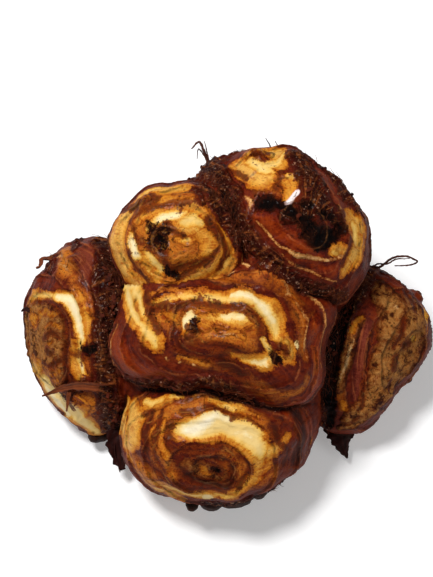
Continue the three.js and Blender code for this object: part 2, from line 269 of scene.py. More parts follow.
# Where the skin is worn through or marked. Each mark is what shows, then its middle line on the head laid
# flat round the bud, as millimetres rightwards, millimetres upwards and the width there.
MARKS = {
    "middle": [
        ("gloss", (-58, -10, 14), (-48, -16, 16), (-36, -22, 14), (-24, -22, 10)),
        ("gloss", (40, 14, 8), (48, 6, 12), (52, -6, 14), (46, -20, 14), (34, -26, 10)),
        ("rust", (-34, 4, 9), (-24, 4.5, 14), (-16, 6, 14), (-8, 7.6, 14), (0, 9, 13), (8, 7, 12),
         (12, 3, 10)),
        ("rust", (-14, 22, 3), (0, 26, 5), (14, 27, 7), (24, 22, 7), (32, 14, 7), (38, 6, 7), (42, -4, 6)),
        ("rust", (12, -18, 5), (22, -21, 6), (32, -20, 6), (40, -14, 5)),
        ("rust", (38, 16, 4), (46, 6, 6), (49, -6, 6), (44, -18, 5)),
        ("rust", (-8, 0, 10), (2, 0.6, 12), (9, -1, 10)),
        ("ochre", (-26, 5, 3), (-20, 6, 4), (-16, 8.4, 2.4)),
        ("ochre", (-12, 9.6, 2), (-4, 11, 2.6), (4, 11.2, 2)),
        ("ochre", (-2, 1.4, 1.6), (3, 2, 2), (7, 0.4, 1.4)),
        ("rust", (-14, -13, 5), (-6, -15, 7), (4, -16, 6)),
        ("ochre", (-50, 18, 14), (-54, 10.5, 14), (-50, 5, 13), (-41, 0.5, 10), (-32, -5, 9), (-27, -7.8, 7)),
        ("ochre", (-48, 13.6, 9), (-42, 11, 8), (-38, 5, 6.4), (-33, 0, 5)),
        ("cream", (-58, 17.5, 6), (-52, 18.5, 9), (-46, 18, 7)),
        ("cream", (-48, 14.4, 6), (-43, 12, 5.4), (-39, 6.4, 3.6)),
        ("cream", (-55, 13, 9), (-50, 6, 7), (-41, 1, 5), (-33, -4.5, 5), (-28, -7.4, 4)),
        ("ochre", (-36, 8.5, 1.8), (-27, 9.5, 3), (-17, 12, 4.4), (-12, 13.4, 5), (-5, 15, 6), (2, 17, 9)),
        ("ochre", (2, 17, 9), (7, 17.5, 10), (11.5, 15, 11), (17, 12.5, 11), (21, 8.8, 10), (24, 4, 8)),
        ("cream", (-34, 8.6, 0.7), (-27, 9.4, 1.6), (-17, 11.8, 2.8), (-12, 13.2, 3.2), (-5.5, 14.8, 3.6),
         (1.5, 16.4, 5)),
        ("cream", (1.5, 16.4, 5), (6.5, 17.4, 7), (10.5, 15, 7.6), (16, 12.2, 7.6), (19.5, 9, 6.6),
         (22.5, 4.8, 5)),
        ("pale", (0, 17.6, 1.6), (4, 18.4, 3.6), (8, 17.8, 4), (12, 15, 3.6), (16, 12.6, 3.2),
         (19.5, 9, 2.4)),
        ("ochre", (-8.5, 4.6, 2.4), (-6, 5.8, 3.4), (-1, 7, 5), (4, 6.8, 6), (7.6, 5, 3.6)),
        ("cream", (-5.6, 5.8, 2), (-2, 7.4, 3.6), (2.5, 7.8, 4.6), (6, 6.4, 3.2)),
        ("pale", (-2, 8, 1.6), (1.5, 8.4, 2.4), (5, 7.4, 2)),
        ("ochre", (-16, -1, 2.6), (-15, 3, 4), (-12, 5.2, 5), (-9.4, 4.4, 2.6)),
        ("pale", (-15.2, 1.6, 1.4), (-14, 4, 2.6), (-11.6, 5.6, 3), (-9.8, 5, 1.4)),
        ("ochre", (-12.4, -0.8, 5.6),),
        ("stain", (-13.6, 1.4, 1), (-11, 0.6, 1), (-10.6, -2, 1), (-13, -3, 1)),
        ("rot", (-10, 3, 1.5), (-9.2, 0.8, 1.9)),
        ("ochre", (-8, 1.6, 3), (-5.6, 3.4, 3)),
        ("cream", (17.4, -1, 4), (18.4, -4.6, 4.8)),
        ("ochre", (22, 3.4, 6), (28, 2.6, 6.6), (33, -0.6, 6.6), (31.4, -5, 5.6), (25, -6, 5)),
        ("cream", (23, 2, 2.4), (27, 3, 2), (31, 1.4, 2)),
        ("pale", (35.6, 2.6, 1.6), (37, 0, 1.8)),
        ("stain", (25.6, -1, 1.4), (29, -0.4, 1.4), (30, -3, 1.6), (27, -4.6, 1.4)),
        ("rot", (19.8, -7.6, 3.4), (22.4, -7.4, 2.4)),
        ("ochre", (4, -8.4, 3.4), (10, -9.2, 6), (15, -9, 7), (19.6, -8, 5)),
        ("cream", (9, -10, 2.4), (14, -9.6, 3.8), (18, -8.6, 2.6)),
        ("pale", (12, -10, 1.2), (15.4, -9.6, 1.4)),
        ("ochre", (-16.4, -11.6, 1.8), (-12, -13.4, 3), (-7, -14.8, 2.8), (-2, -15.8, 1.6)),
        ("ochre", (-37, 11.6, 1), (-25, 13.2, 1.3), (-17, 15.2, 1.1), (-9, 17.4, 0.8)),
        ("edge", (-10.4, -16.4, 1.9),),
        ("edge", (-17, -14.4, 1.5),),
        ("edge", (-21.5, -13, 1.5),),
        ("edge", (-17, -3.4, 0.9), (-13.5, -7, 1.1), (-8.4, -8.8, 1), (-3, -10.4, 0.8)),
        ("edge", (-2.4, 0.4, 0.7), (1.6, 1.2, 0.8), (5, 0, 0.7)),
        ("edge", (20, 25, 0.7), (26.5, 20, 0.9), (36, 13, 1), (41, 4, 1), (42.6, -6, 0.8)),
        ("edge", (30, 26, 0.7), (41, 20, 0.8), (49, 13, 1), (55, 1, 1.1), (53, -14, 0.9)),
        ("edge", (-60, -4, 1), (-58, -14, 1.1), (-52, -24, 0.9)),
        ("edge", (17, 26.6, 2.1),),
        ("edge", (23, 20.6, 1.7),),
        ("edge", (38, 21, 1.2),),
        ("stain", (17, 26.6, 0.8),),
        ("stain", (-10.2, 13.6, 1), (-8.6, 13.4, 0.9)),
        ("stain", (-37, 12, 2), (-35, 9.6, 2.4), (-32, 7, 2)),
        ("stain", (-36, 7, 1.6), (-33, 2, 2.4), (-30, -2, 1.6)),
        ("stain", (-30, 7.6, 1.4), (-15, 9.2, 1.5), (-8, 11.4, 1.5), (1, 12.4, 1.8), (6, 11, 2.2),
         (11, 7, 2), (15, 2, 2)),
        ("stain", (-22, 1, 3), (-19, -4, 4), (-14, -8, 3), (-6, -11, 2.4), (2, -11, 2)),
        ("stain", (-7, -4, 2.4), (0, -5.6, 3.2), (6, -6, 2.4)),
        ("stain", (-1, -12, 4), (4, -16, 5), (10, -18, 4)),
        ("husk", (-62, -22, 6), (-52, -30, 6), (-36, -30, 6), (-20, -27, 7), (-5, -25, 7), (8, -25, 8)),
        ("husk", (8, -25, 8), (20, -30, 5), (36, -34, 4)),
        ("husk", (72, 24, 12), (74, 10, 12), (75, -5, 12), (70, -20, 12)),
        # Painted shade: black along the crevice against the right head.
        ("rot", (84, 14, 8), (86, 3, 9), (84, -12, 8)),
    ],
    "lower": [
        ("rust", (-52, 26, 12), (-38, 26, 14), (-24, 26, 14), (-8, 29, 12), (6, 29.5, 11)),
        ("rust", (6, 29.5, 11), (18, 26.5, 11), (26, 20, 9), (31, 13, 6)),
        ("rust", (-26, 16, 12), (-24, 6, 12), (-19, -3, 12)),
        ("rust", (8, 5, 12), (12, -2, 12), (18, -6, 12), (28, -7, 10)),
        ("bark", (-10, 1, 7), (-4, -2, 9), (4, -4, 8)),
        ("stain", (-12, -2, 4), (-8, -6, 3.6), (0, -8, 3), (8, -4, 3), (9, 3, 2.4), (0, 6, 2), (-8, 5, 2.4)),
        ("rust", (-44, 0, 13), (-38, -5, 14), (-30, -8, 10)),
        ("ochre", (-46, -3, 5), (-40, -8, 5), (-34, -10.6, 4)),
        ("gloss", (44, 22, 16), (54, 14, 18), (58, 2, 18), (46, -4, 16)),
        ("stain", (47, 26, 10), (50, 14, 10), (52, 2, 10), (44, -8, 10)),
        ("ochre", (-63, 22, 12), (-60, 10, 15), (-52, 2, 12)),
        ("ochre", (-50, 24, 14), (-42, 20, 15), (-40, 10, 14), (-46, 4, 12)),
        ("ochre", (-36, 29, 7), (-28, 30, 6), (-20, 33, 3)),
        ("cream", (-39, 30.5, 3.2), (-33, 30, 4.4), (-28, 31.5, 2.4)),
        ("cream", (-24, 33, 1.8), (-19, 34, 2.6), (-15, 35, 1.6)),
        ("ochre", (-10, 35.5, 2.4), (-3, 36, 3), (4, 35, 2.6), (11, 32.5, 2.2), (18, 28.8, 1.8),
         (25, 24, 1.4)),
        ("cream", (-4, 36.6, 1.6), (2, 36.2, 1.8)),
        ("ochre", (-21.5, 22, 2.6), (-21, 13, 3.6), (-18, 6, 3)),
        ("ochre", (-27, 20, 2), (-27.5, 10, 1.6)),
        ("ochre", (-14, 18, 11), (-8, 19, 13), (0, 19.5, 15), (8, 20, 15), (15, 17, 17), (21, 12, 16)),
        ("ochre", (21, 12, 16), (24, 6, 12), (23, 1, 8), (22, -4, 5)),
        ("cream", (-12, 18, 8.4), (-8, 19, 11.5), (0, 20.5, 12.5), (8, 21, 12), (15, 18.5, 13),
         (21, 14, 12.5)),
        ("cream", (20, 14, 12), (23.5, 9, 9), (24.5, 5, 6)),
        # Painted highlight: the near-white streak where the lower head's cream flesh shines.
        ("pale", (-10.6, 18.4, 6.4), (-8, 19.2, 8.6), (-3, 21.6, 8), (4, 24.4, 5), (11, 24, 3.4)),
        ("pale", (14, 17, 1), (18, 17, 2.6), (21, 13, 1.6)),
        ("cream", (13, 24, 4), (18, 22.6, 5), (22, 19, 4)),
        ("ochre", (-1, 31.6, 5), (6, 32.4, 6), (13, 31, 7), (19, 27.6, 5)),
        ("cream", (4, 30, 2.2), (9, 30.4, 3), (14, 28.6, 2.6)),
        ("ochre", (-36, -13.4, 5), (-28, -16.6, 6), (-18, -19, 6)),
        ("cream", (-30, -16.4, 2.4), (-25, -18, 3)),
        ("ochre", (28, 4, 9), (35, 7, 8), (39, 10, 5)),
        ("ochre", (-32, -10.5, 4), (-20, -12.2, 6), (-10, -13.4, 6.6), (0, -13, 6), (8, -11, 5.4),
         (14, -7.5, 5.6)),
        ("ochre", (14, -7.5, 5), (21, -5.5, 6), (28, -2, 4)),
        ("cream", (-26, -12, 1.6), (-18, -13, 3), (-10, -14, 3.6), (-2, -14, 3), (6, -12.4, 2)),
        ("pale", (-5, -15.4, 2.6), (-3, -15.2, 2)),
        ("edge", (-8.5, 4.2, 0.8), (-3, 6, 1), (2.5, 3.4, 0.8)),
        ("ochre", (-5, -0.6, 3.4), (-3, -2.6, 2)),
        ("edge", (-8, -6, 0.9), (0, -8, 1), (8, -6.5, 0.9), (12, -2, 0.9)),
        ("stain", (-36, 24, 1.4), (-31.5, 26, 2.2), (-31, 18, 3.6), (-29.5, 10, 3.9), (-29, 2, 2.9)),
        ("stain", (-24.5, 27, 2.2), (-24, 16, 2.4), (-24.5, 6, 2.2), (-21, -2, 2.9)),
        ("stain", (-17, 21, 2.2), (-17.5, 12, 2.2), (-14.5, 9, 2.2), (-4, 8.6, 1.4), (6, 9.4, 2.2),
         (9, 6, 2.2)),
        ("stain", (-27, -3, 2.2), (-19, -7, 2.9), (-10, -9, 2.4), (2, -10, 1.7)),
        ("stain", (10, -8, 1.7), (16, -4, 2.2), (19, -0.5, 1.7)),
        ("stain", (-14, 27, 2.2), (-2, 29.5, 1.7), (10, 27.5, 1.4), (20, 23.4, 1.2), (27, 17, 1.2)),
        ("stain", (13, 24.8, 1.2),),
        ("stain", (-0.5, -0.4, 4), (2, -1.6, 3.4)),
        ("rot", (0.6, -0.6, 2.6),),
        ("stain", (5, -5.6, 4.4), (9, -4.6, 3.4), (10.5, 1, 3)),
        ("stain", (32, 18, 5.8), (34, 8, 2.9), (40, 2, 3.6), (36, -6, 2.9)),
        ("husk", (-74, 34, 6), (-60, 38, 3)),
        ("husk", (44, 38, 4), (58, 36, 6), (72, 28, 8)),
        ("husk", (-6, -23, 7), (8, -23, 8), (20, -24, 7), (40, -24, 6)),
    ],
    "upper_left": [
        ("rust", (0, 0, 52), (2, -6, 52)),
        ("ochre", (-30, -14, 14), (-32, 0, 15), (-28, 12, 12), (-20, 25, 9), (-8, 27, 8), (4, 27, 7)),
        ("ochre", (-24, -20, 10), (-14, -24, 9), (-2, -24, 8), (8, -24, 5)),
        ("ochre", (-15, 12, 5), (-8, 14, 6), (0, 16, 5), (8, 16, 6), (14, 12, 5), (18, 8, 4)),
        ("ochre", (3, 7, 7), (9, 6, 8), (13, 3, 6), (16, -1, 7), (15, -6, 7)),
        ("cream", (-6, 9.6, 4.6), (-2, 12.2, 6.2), (2, 13.2, 5.4), (5.5, 12.6, 3.2)),
        ("pale", (-4, 10.4, 3.2), (-1, 12.4, 3.8), (3, 13.2, 2.4)),
        ("cream", (5, 9.4, 3.8), (9, 9.8, 5.9), (13, 7.8, 4.1)),
        ("cream", (-10.4, 6.6, 2.4), (-8.2, 8.2, 3.2)),
        ("cream", (-18.4, 3.4, 4.1), (-19, -1, 6.2), (-17.6, -6, 6.8)),
        ("pale", (-18.6, 0, 3.5), (-17.8, -5, 4.1)),
        ("ochre", (-14, -7, 6), (-10, -10, 7), (-8, -16, 6), (-9, -21, 5)),
        ("cream", (-11, -6, 4.1), (-9, -9.5, 4.9), (-7.4, -13, 4.1)),
        ("ochre", (3, -19.6, 5), (10, -16.6, 8), (16, -13.4, 8), (20, -8, 6), (22, -2, 5)),
        ("ochre", (21, 9, 3), (25, 3.6, 4), (28, -3, 4.4), (28.4, -9, 4), (25, -15, 4), (17, -19.5, 4)),
        ("cream", (19.5, -17, 1.9), (24, -13, 2.7), (26.8, -9, 2.4)),
        ("rust", (2, -3, 5), (6, -7, 6), (12, -6, 5)),
        ("ochre", (2.6, 1, 3.4), (6, 0.6, 4.4), (9.6, 1, 4)),
        ("cream", (5.6, 1, 1.8), (8.4, 1.4, 2)),
        ("cream", (-18, 28, 3), (-12, 29, 3.6), (-6, 29.4, 2.4)),
        ("ochre", (-10, 21, 3), (-5, 20.6, 4.6), (0, 21, 3)),
        ("ochre", (-15, -12, 4), (-12, -15, 5)),
        ("cream", (-13, -13.6, 2.4), (-11.6, -15.6, 2)),
        ("edge", (35, -6, 1.6), (34.6, -13, 2), (29, -17.6, 2), (23, -20, 2), (16, -22.4, 1.8),
         (6, -24.4, 1.4)),
        ("stain", (-30, 20, 2.9), (-22, 21, 5), (-16, 18, 3.6)),
        ("stain", (-15.6, 20, 2.2), (-13, 17, 1.9), (-9, 17.4, 2.2), (-7.6, 20.6, 2.2), (-10, 22.6, 2.2),
         (-14, 22.4, 1.9)),
        ("stain", (-21, 12.8, 1.7), (-15, 14, 1), (-9, 14.8, 1), (-4, 17, 0.9), (1, 17.4, 0.8), (6, 17, 0.8)),
        ("stain", (3.4, 14.8, 1.6),),
        ("stain", (-22, 13, 1.7), (-17, 8, 1.6), (-16, 3.6, 1.9), (-13, 0, 2.2)),
        ("stain", (-22, -5, 2.9), (-22, -10, 2.2), (-19.4, -15, 1.9), (-16, -20, 1.7)),
        ("rot", (-10, 9, 1.2), (-7.6, 5.4, 3.9), (-5.4, 2.4, 5.4), (-4, -1.4, 3.4)),
        ("rot", (-9.4, 1, 2), (-7, 4, 2.5)),
        ("rot", (-6, 7, 2), (-2.4, 4.8, 2.2)),
        ("stain", (-9.4, -2, 3), (-5.6, -3.6, 4.4), (-4, -7, 4)),
        ("stain", (-1, 8, 1.8), (2.6, 5.6, 1.7), (6, 3.4, 1)),
        ("stain", (-4, -4, 3.6), (-4, -9, 3.2), (-3, -13, 3.6), (4, -12.6, 2.9), (10, -11, 2.2),
         (15, -9.4, 1.4)),
        ("rot", (-4.6, -11.6, 1.4), (-3, -14.4, 3.2), (1.4, -15.8, 2.4)),
        ("stain", (2, -17.6, 2.2), (8, -14.6, 1.7), (14, -10.6, 1.4), (19, -5, 1.3)),
        ("stain", (16, 10, 2.9), (20, 4, 3.6), (23, -3, 2.9), (24, -9, 2.2), (20, -15, 1.4)),
        ("stain", (-10, -26, 2.2), (0, -27, 2.2), (10, -25, 2.2)),
        ("husk", (14, 30, 12), (19, 22, 12), (24, 15, 10), (30, 8, 9), (34, 0, 8)),
        ("husk", (8, 24, 4), (12, 18, 4)),
    ],
    "upper_right": [
        ("mauve", (-26, 22, 14), (-8, 18, 18), (4, 20, 16), (12, 26, 12)),
        ("gloss", (-17, -10, 8), (-9, -9.6, 9), (-1, -9.4, 10), (7, -8.4, 9), (13, -6.4, 7)),
        ("gloss", (9, -14, 6), (16, -11, 8), (24, -7, 9), (30, -3, 6)),
        ("ochre", (-50, 3, 10), (-42, 2, 14), (-33, 1, 14), (-28, 2, 12)),
        ("ochre", (-49, 11, 7), (-40, 18, 11), (-33, 20, 12), (-30, 13, 10)),
        ("cream", (-46, 6, 3), (-40, 6, 6), (-33, 5.6, 7.4), (-28.6, 6, 4)),
        ("cream", (-33, 8, 6), (-30.6, 15, 4.4), (-31, 22, 3)),
        ("stain", (-50, -2, 2.2), (-42, -1, 2.2), (-38, -3, 2.2)),
        ("cream", (-38, 21, 2.4), (-35.4, 23, 3)),
        ("bark", (-47, 11, 7), (-43, 13.4, 8.4), (-39, 15.4, 6)),
        ("stain", (-42, 8.6, 1.4), (-39, 8, 2.2), (-37.4, 10, 1.4)),
        ("stain", (-46.5, 12, 2.4), (-43, 10.6, 1.4), (-40, 12, 1.6), (-39.6, 15, 2), (-43, 16.4, 2.4),
         (-46, 15, 2)),
        ("edge", (-44.4, 13.2, 1.6),),
        ("rust", (-27, -1, 8), (-21, 3, 12), (-15, 3, 10), (-12, 1, 6)),
        ("ochre", (-22, 5.6, 6), (-17.6, 7.6, 6), (-14.6, 1.6, 5.6), (-12, -1.4, 3)),
        ("cream", (-22, 9.4, 1.8), (-18.6, 10.8, 2.6), (-15.4, 10, 2)),
        ("stain", (-26, 8, 1.4), (-23, 6, 1.4), (-20, 1, 1.7)),
        # A small near-white patch with crisp edges.
        ("nick", (-12.4, 0.8, 3.2), (-12.9, 6.2, 3.2)),
        ("ochre", (14, 19.6, 8), (20, 20, 11), (25.5, 18, 11), (29.5, 13, 11), (32, 5, 10), (32, -3, 7)),
        ("cream", (18, 19, 3), (24, 17.6, 4), (28.6, 13, 3.4)),
        ("ochre", (17, 0.4, 7), (21, 1.6, 9), (24.4, 4.6, 7), (28, 8, 7), (30, 12, 8)),
        ("cream", (18, -1.6, 2.6), (22, 0, 2.4)),
        ("stain", (24, 12, 2.2), (27, 5, 2.4), (28.6, -1, 2.2)),
        ("edge", (-16, -11.7, 0.7), (-8, -14, 1), (0.2, -14.9, 1.2), (7, -13.2, 1.6)),
        ("edge", (7, -13.2, 1.6), (11.6, -9.6, 1.8), (17, -6, 1.6), (22.5, -2.6, 1.6), (26, 2, 1),
         (25.7, 8, 0.7)),
        ("pale", (6.6, -13.3, 1.4), (9.8, -11.2, 1.5)),
        ("edge", (2, -18, 0.8), (12, -16.4, 1), (22, -13, 1), (31, -9, 0.8)),
        ("edge", (-14, -27, 1), (-6, -31, 1.2), (2, -33, 1.2), (14, -33.6, 1.2)),
        ("pale", (8.4, -31, 1.9),),
        ("ochre", (0, -26, 2.4), (4, -27, 3)),
        ("edge", (6.5, 17.8, 1.9), (12, 18.6, 1.4)),
        ("edge", (-3.2, 12.4, 1.7),),
        ("edge", (-29, -9, 1), (-25, -8, 1.5), (-22, -10, 1)),
        ("rot", (-20.5, -6.4, 5), (-16.5, -3.6, 6), (-13, -3, 3)),
        ("rot", (0, 3, 5), (5, 1, 9), (10, 1.4, 11), (13.6, 5.4, 8), (15, 10, 6)),
        ("rot", (4, -4, 4), (10, -3.6, 4)),
        ("rot", (-14, -3.4, 3), (-9, -1, 4), (-4, 0.4, 5), (2, 1, 6)),
        ("rot", (-7, 5, 2.6), (-3, 7.6, 3.4)),
        ("rot", (3, 9, 3), (8, 12, 4.4)),
        ("rot", (13, 12, 5), (17, 13, 4)),
        ("husk", (-72, -4, 16), (-60, -8, 14), (-46, -14, 14), (-32, -15, 13), (-20, -18, 10), (-8, -22, 10)),
        ("husk", (-8, -22, 10), (5, -23, 9), (18, -21, 9), (32, -16, 9), (44, -10, 8)),
        ("husk", (-24, 24, 12), (-16, 16, 12), (-6, 12, 12), (2, 12, 12), (10, 14, 8)),
        ("husk", (-22, 30, 8), (-8, 28, 8), (4, 26, 8), (14, 28, 6)),
        ("husk", (-4, 4, 10), (-8, -2, 8)),
    ],
    "left": [
        ("rust", (-50, 6, 12), (-42, 10, 14), (-35, 15, 12), (-30, 20, 8)),
        ("mauve", (-56, 20, 14), (-44, 24, 16), (-32, 27, 10)),
        ("rust", (-25, 22, 8), (-20, 27, 10), (-10, 30, 10), (-2, 31.6, 9), (4, 31.6, 6)),
        ("ochre", (-22, 23, 3), (-16, 27, 4.4), (-8, 28.6, 5), (0, 30, 4)),
        ("bark", (-10, -8, 20), (-4, 1, 26), (5, 1, 30), (13, 2, 24), (19, 2, 14)),
        ("rust", (30, 14, 10), (38, 18, 12), (50, 18, 12), (56, 14, 8)),
        ("bark", (-8, -16, 16), (2, -18, 20), (12, -16, 14)),
        ("rust", (12, 27, 6), (18, 28.4, 6)),
        ("ochre", (16, -12, 16), (24, -8, 18), (34, -2, 22), (44, 2, 22), (53, 3, 16), (60, 6, 9)),
        ("cream", (22, -6, 10), (30, -2, 15), (40, 1, 17), (50, 3, 12), (58, 5, 6)),
        ("pale", (26, -8, 3), (34, -7, 5), (42, -6, 4)),
        ("husk", (28, 3, 3), (32, 5, 4), (35, 4, 2)),
        ("ochre", (-19, -13, 6), (-21, -5, 6.4), (-21, 3, 6), (-22, 11, 6), (-19.6, 16.6, 7.6)),
        ("ochre", (-19.6, 16.6, 7.6), (-15, 20, 8), (-9, 22.4, 8), (-2, 24.6, 7.6), (4, 26.6, 5)),
        ("cream", (-20, -8, 2), (-21.4, 0, 3.4), (-22, 9, 4.4), (-19.8, 16, 6), (-15, 19.6, 6.6)),
        ("cream", (-15, 19.6, 6.6), (-9, 22, 6.6), (-2, 24.4, 6), (3.4, 26.6, 3.6)),
        ("pale", (-21.6, 11, 2.6), (-19, 17, 4.4), (-14, 20.4, 5), (-8, 22.8, 4.6), (-2, 24.8, 3.6),
         (2, 26.4, 2)),
        ("ochre", (4, 19, 4.4), (8, 19.4, 5), (12, 20, 10), (18, 20, 10), (21, 18, 5)),
        ("cream", (12, 22, 4.6), (17, 22, 4.6)),
        ("pale", (13.6, 22.6, 2.4), (16, 22.4, 1.8)),
        ("ochre", (-9, -7, 5), (-6, -6, 4)),
        ("ochre", (-14, -10, 3.4), (-4, -15, 3.4), (6, -16, 3.4), (14, -13, 2.6)),
        ("ochre", (2, 24.6, 4.6), (11, 21, 6)),
        ("ochre", (-9, -7, 2.6), (-11.4, 1, 3.4), (-10, 9, 3)),
        ("ochre", (8, -9, 2.6), (12, -3, 3), (17, -6, 2.6)),
        ("ochre", (19, 0, 2.4), (20, 7, 3)),
        ("cream", (2.4, 25, 2.6), (11.6, 21, 3.6)),
        ("husk", (-46, -6, 7), (-38, -1, 7), (-35, 5, 5)),
        ("ochre", (13.6, 1, 2.2), (13.4, 8, 3)),
        ("ochre", (30, 12, 4), (34, 14, 3.4), (40, 14, 3)),
        ("edge", (-43, 1, 1), (-44, 6, 1.4), (-42, 10, 1)),
        ("edge", (-38, 8, 1), (-37, 13, 1.4), (-34, 16, 1)),
        ("edge", (35.6, 4.4, 0.9), (38, 7, 1), (37.6, 10, 0.9)),
        ("edge", (-12, 33, 1), (-6, 35, 1.2), (0, 35.6, 1)),
        ("stain", (-17, -6, 0.9), (-17.4, 6, 0.9), (-14.6, 14, 1), (-6, 18, 1.4), (4, 17.4, 1.6),
         (12, 14, 2.4), (20, 12, 2.9)),
        ("stain", (8.2, 16, 1.2), (9.4, 24, 1.4)),
        ("stain", (13, 22.4, 0.9),),
        ("mauve", (-13.6, -6, 6), (-12, 2, 3)),
        ("ochre", (-4, 3, 1.2), (-6, 8, 1.6), (-3, 12.4, 1.2)),
        ("ochre", (15, 0, 1.4), (17, 6, 1.8), (15, 11, 1.2)),
        ("ochre", (3, 4.6, 1.4), (2.6, 8.6, 1.6)),
        ("stain", (0, 2, 1.6), (-2, 8, 2.2), (1, 12, 1.6)),
        ("stain", (11, 1, 1.8), (13, 6.6, 2.4), (11, 11.4, 1.8)),
        ("stain", (5, 5.4, 2), (7, 8.4, 2)),
        ("stain", (22, 14, 3.6), (28, 10, 2.9), (33, 5, 3.6), (38, 2, 2.9)),
        ("rot", (6, 25, 1.8), (7.6, 29, 4), (8, 33, 4.6)),
        ("husk", (-66, 20, 14), (-54, 32, 14), (-38, 37, 15), (-22, 39, 15), (-8, 40, 14), (6, 40, 16)),
        ("husk", (6, 40, 16), (20, 36, 16), (32, 30, 15), (44, 25, 14), (54, 20, 14), (64, 12, 12)),
        ("husk", (-64, 2, 8), (-56, 8, 6), (-50, 14, 4)),
        ("husk", (23, 22, 6), (27, 16, 4)),
    ],
    "right": [
        ("bark", (-34, -20, 8), (-24, -18, 13), (-12, -17, 13), (-4, -18, 9)),
        ("bark", (-24, -6, 12), (-12, -4, 16), (0, -2, 18), (12, -2, 18), (22, -4, 14)),
        ("bark", (4, -14, 14), (16, -14, 16), (28, -14, 16), (38, -18, 12), (46, -16, 8)),
        ("mauve", (-8, -29, 8), (0, -28, 9), (10, -27, 9), (20, -26, 8), (30, -24, 6)),
        ("bark", (-2, -10, 12), (8, -8, 16), (18, -10, 14), (28, -12, 11), (38, -16, 8)),
        ("bark", (24, -2, 8), (34, -6, 10), (46, -9, 9), (56, -12, 6)),
        ("bark", (8, -17, 8), (16, -16, 9), (24, -17, 7)),
        ("ochre", (-26, 1.6, 1.6), (-19, 3, 2), (-12, 5, 1.4)),
        ("cream", (-23, 2.6, 1.3), (-17, 3.6, 1.5)),
        ("bark", (20, -18.4, 4), (13, -20, 5), (6, -20, 5.4), (0, -18, 5), (-4, -13, 4)),
        ("rust", (18, -18.6, 1.6), (12, -20, 2.4), (6, -20, 2.6), (0, -18, 2)),
        ("rust", (6, -16, 2), (12, -15, 2.6), (18, -13, 2.6)),
        ("edge", (13, -17, 1.4), (17, -17, 1.5)),
        ("cream", (-5.4, -1.8, 2.4), (-3, -3, 1.6)),
        ("ochre", (-12, -31, 2.6), (-8, -35.4, 4), (-3, -36.4, 4)),
        ("bark", (-10, -33, 6), (-3, -36, 8), (3, -35.6, 8), (11, -35.4, 8), (19, -36, 8), (27, -36, 7)),
        ("edge", (0, -34, 1.4), (6, -35, 2.2), (12, -34.6, 2.2), (18, -35.6, 1.8), (26, -36.6, 1.6)),
        ("rust", (27, -36, 7), (34, -31, 7), (40, -25, 7)),
        ("ochre", (35, -29, 3), (40, -24, 3)),
        ("edge", (-19, -16.4, 2), (-17.6, -15.6, 1.6)),
        ("stain", (-4, -24, 2.2), (5, -24, 2.2), (15, -23.4, 2.2), (25, -21, 2.2), (35, -17, 2.2)),
        ("stain", (4, -8, 3.2), (8, -6.6, 2.4)),
        ("stain", (-2, -7, 3.2), (-2, -3.4, 2.2)),
        ("stain", (-12, -12, 2.2), (-6, -11, 2.2), (0, -12, 2.2)),
        ("stain", (14, -5, 2.9), (20, -3.4, 2.2)),
        ("stain", (-30, -8, 3.6), (-24, -6, 2.9), (-18, -6, 2.9)),
        ("husk", (-54, -12, 12), (-46, -22, 14), (-36, -27, 12), (-27, -33, 12), (-18, -38, 10)),
        ("husk", (-18, -38, 10), (-8, -43, 8), (2, -44, 10), (12, -44, 10), (24, -44, 9), (34, -40, 9)),
        ("husk", (34, -40, 9), (46, -32, 11), (60, -24, 12), (72, -16, 12)),
        ("husk", (-42, -10, 6), (-36, -6, 5)),
        # Painted shade: black along the crevice against the middle head.
        ("rot", (-24, -36, 6), (-14, -41, 8), (0, -43.4, 9), (14, -43, 9), (26, -40.6, 8), (36, -36.6, 7)),
        ("rot", (36, -36.6, 7), (50, -27, 7), (62, -19, 7)),
    ],
}

# ---- The skin's shape ----
FIELD_REACH = 5.0  # marks are told apart to this distance either side of their edge, in millimetres
# Worn places where no mark is set: their kind, how far across the rings one reaches, and how rare they are.
UNDERSIDE_MARKS = [
    ("rust", 15.0, 0.0), ("bark", 9.0, 0.32), ("ochre", 8.0, 0.28), ("mauve", 11.0, 0.2), ("stain", 5.0, 0.4)
]
RING_RADIUS = 32.0  # mean radius of a head, in millimetres
RING_STRETCH = 2.5  # how much longer those places are along the rings than across them
HEADS_APART = 60  # step between the heads in the noise, so that no two wear alike
SEAM = ("middle", "upper_left")  # heads that run into each other, without a crevice of husk
SEAM_RISE = 6.0  # millimetres by which either is held away there, so that no gap is read
BEHIND = (48.0, -12.0)  # past this far up or this far back, husk fills the hollows between the heads
HOLLOW_DEPTH = 2.5  # how far above both heads a point has to lie to be in such a hollow
MARK_SINK = {
    "ochre": -0.25, "cream": -0.3, "rot": -1.3, "stain": -0.25, "edge": 0.45, "husk": 0.5, "bark": 0.3
}


def cloud(points, length, start):
    """Three smooth random values for each point, mostly within 1, that change over the length given."""
    seeds = points / length + SEED + start
    return np.array([noise.turbulence_vector(Vector(seed), 3, False) for seed in seeds])


def step(value, low, high):
    """0 below `low`, 1 above `high`, and smooth between."""
    t = np.clip((value - low) / (high - low), 0, 1)
    return t * t * (3 - 2 * t)


def trimmed(corm):
    """Cuts the corm off level where it rests, and closes the cut."""
    edit = bmesh.new()
    edit.from_mesh(corm.data)
    everything = [*edit.verts, *edit.edges, *edit.faces]
    cut = bmesh.ops.bisect_plane(
        edit, geom=everything, dist=1e-6, plane_co=(0, 0, corm_low.z), plane_no=(0, 0, 1), clear_inner=True
    )
    rim = [part for part in cut["geom_cut"] if isinstance(part, bmesh.types.BMEdge)]
    bmesh.ops.holes_fill(edit, edges=rim, sides=0)
    bmesh.ops.recalc_face_normals(edit, faces=edit.faces)
    edit.to_mesh(corm.data)
    edit.free()


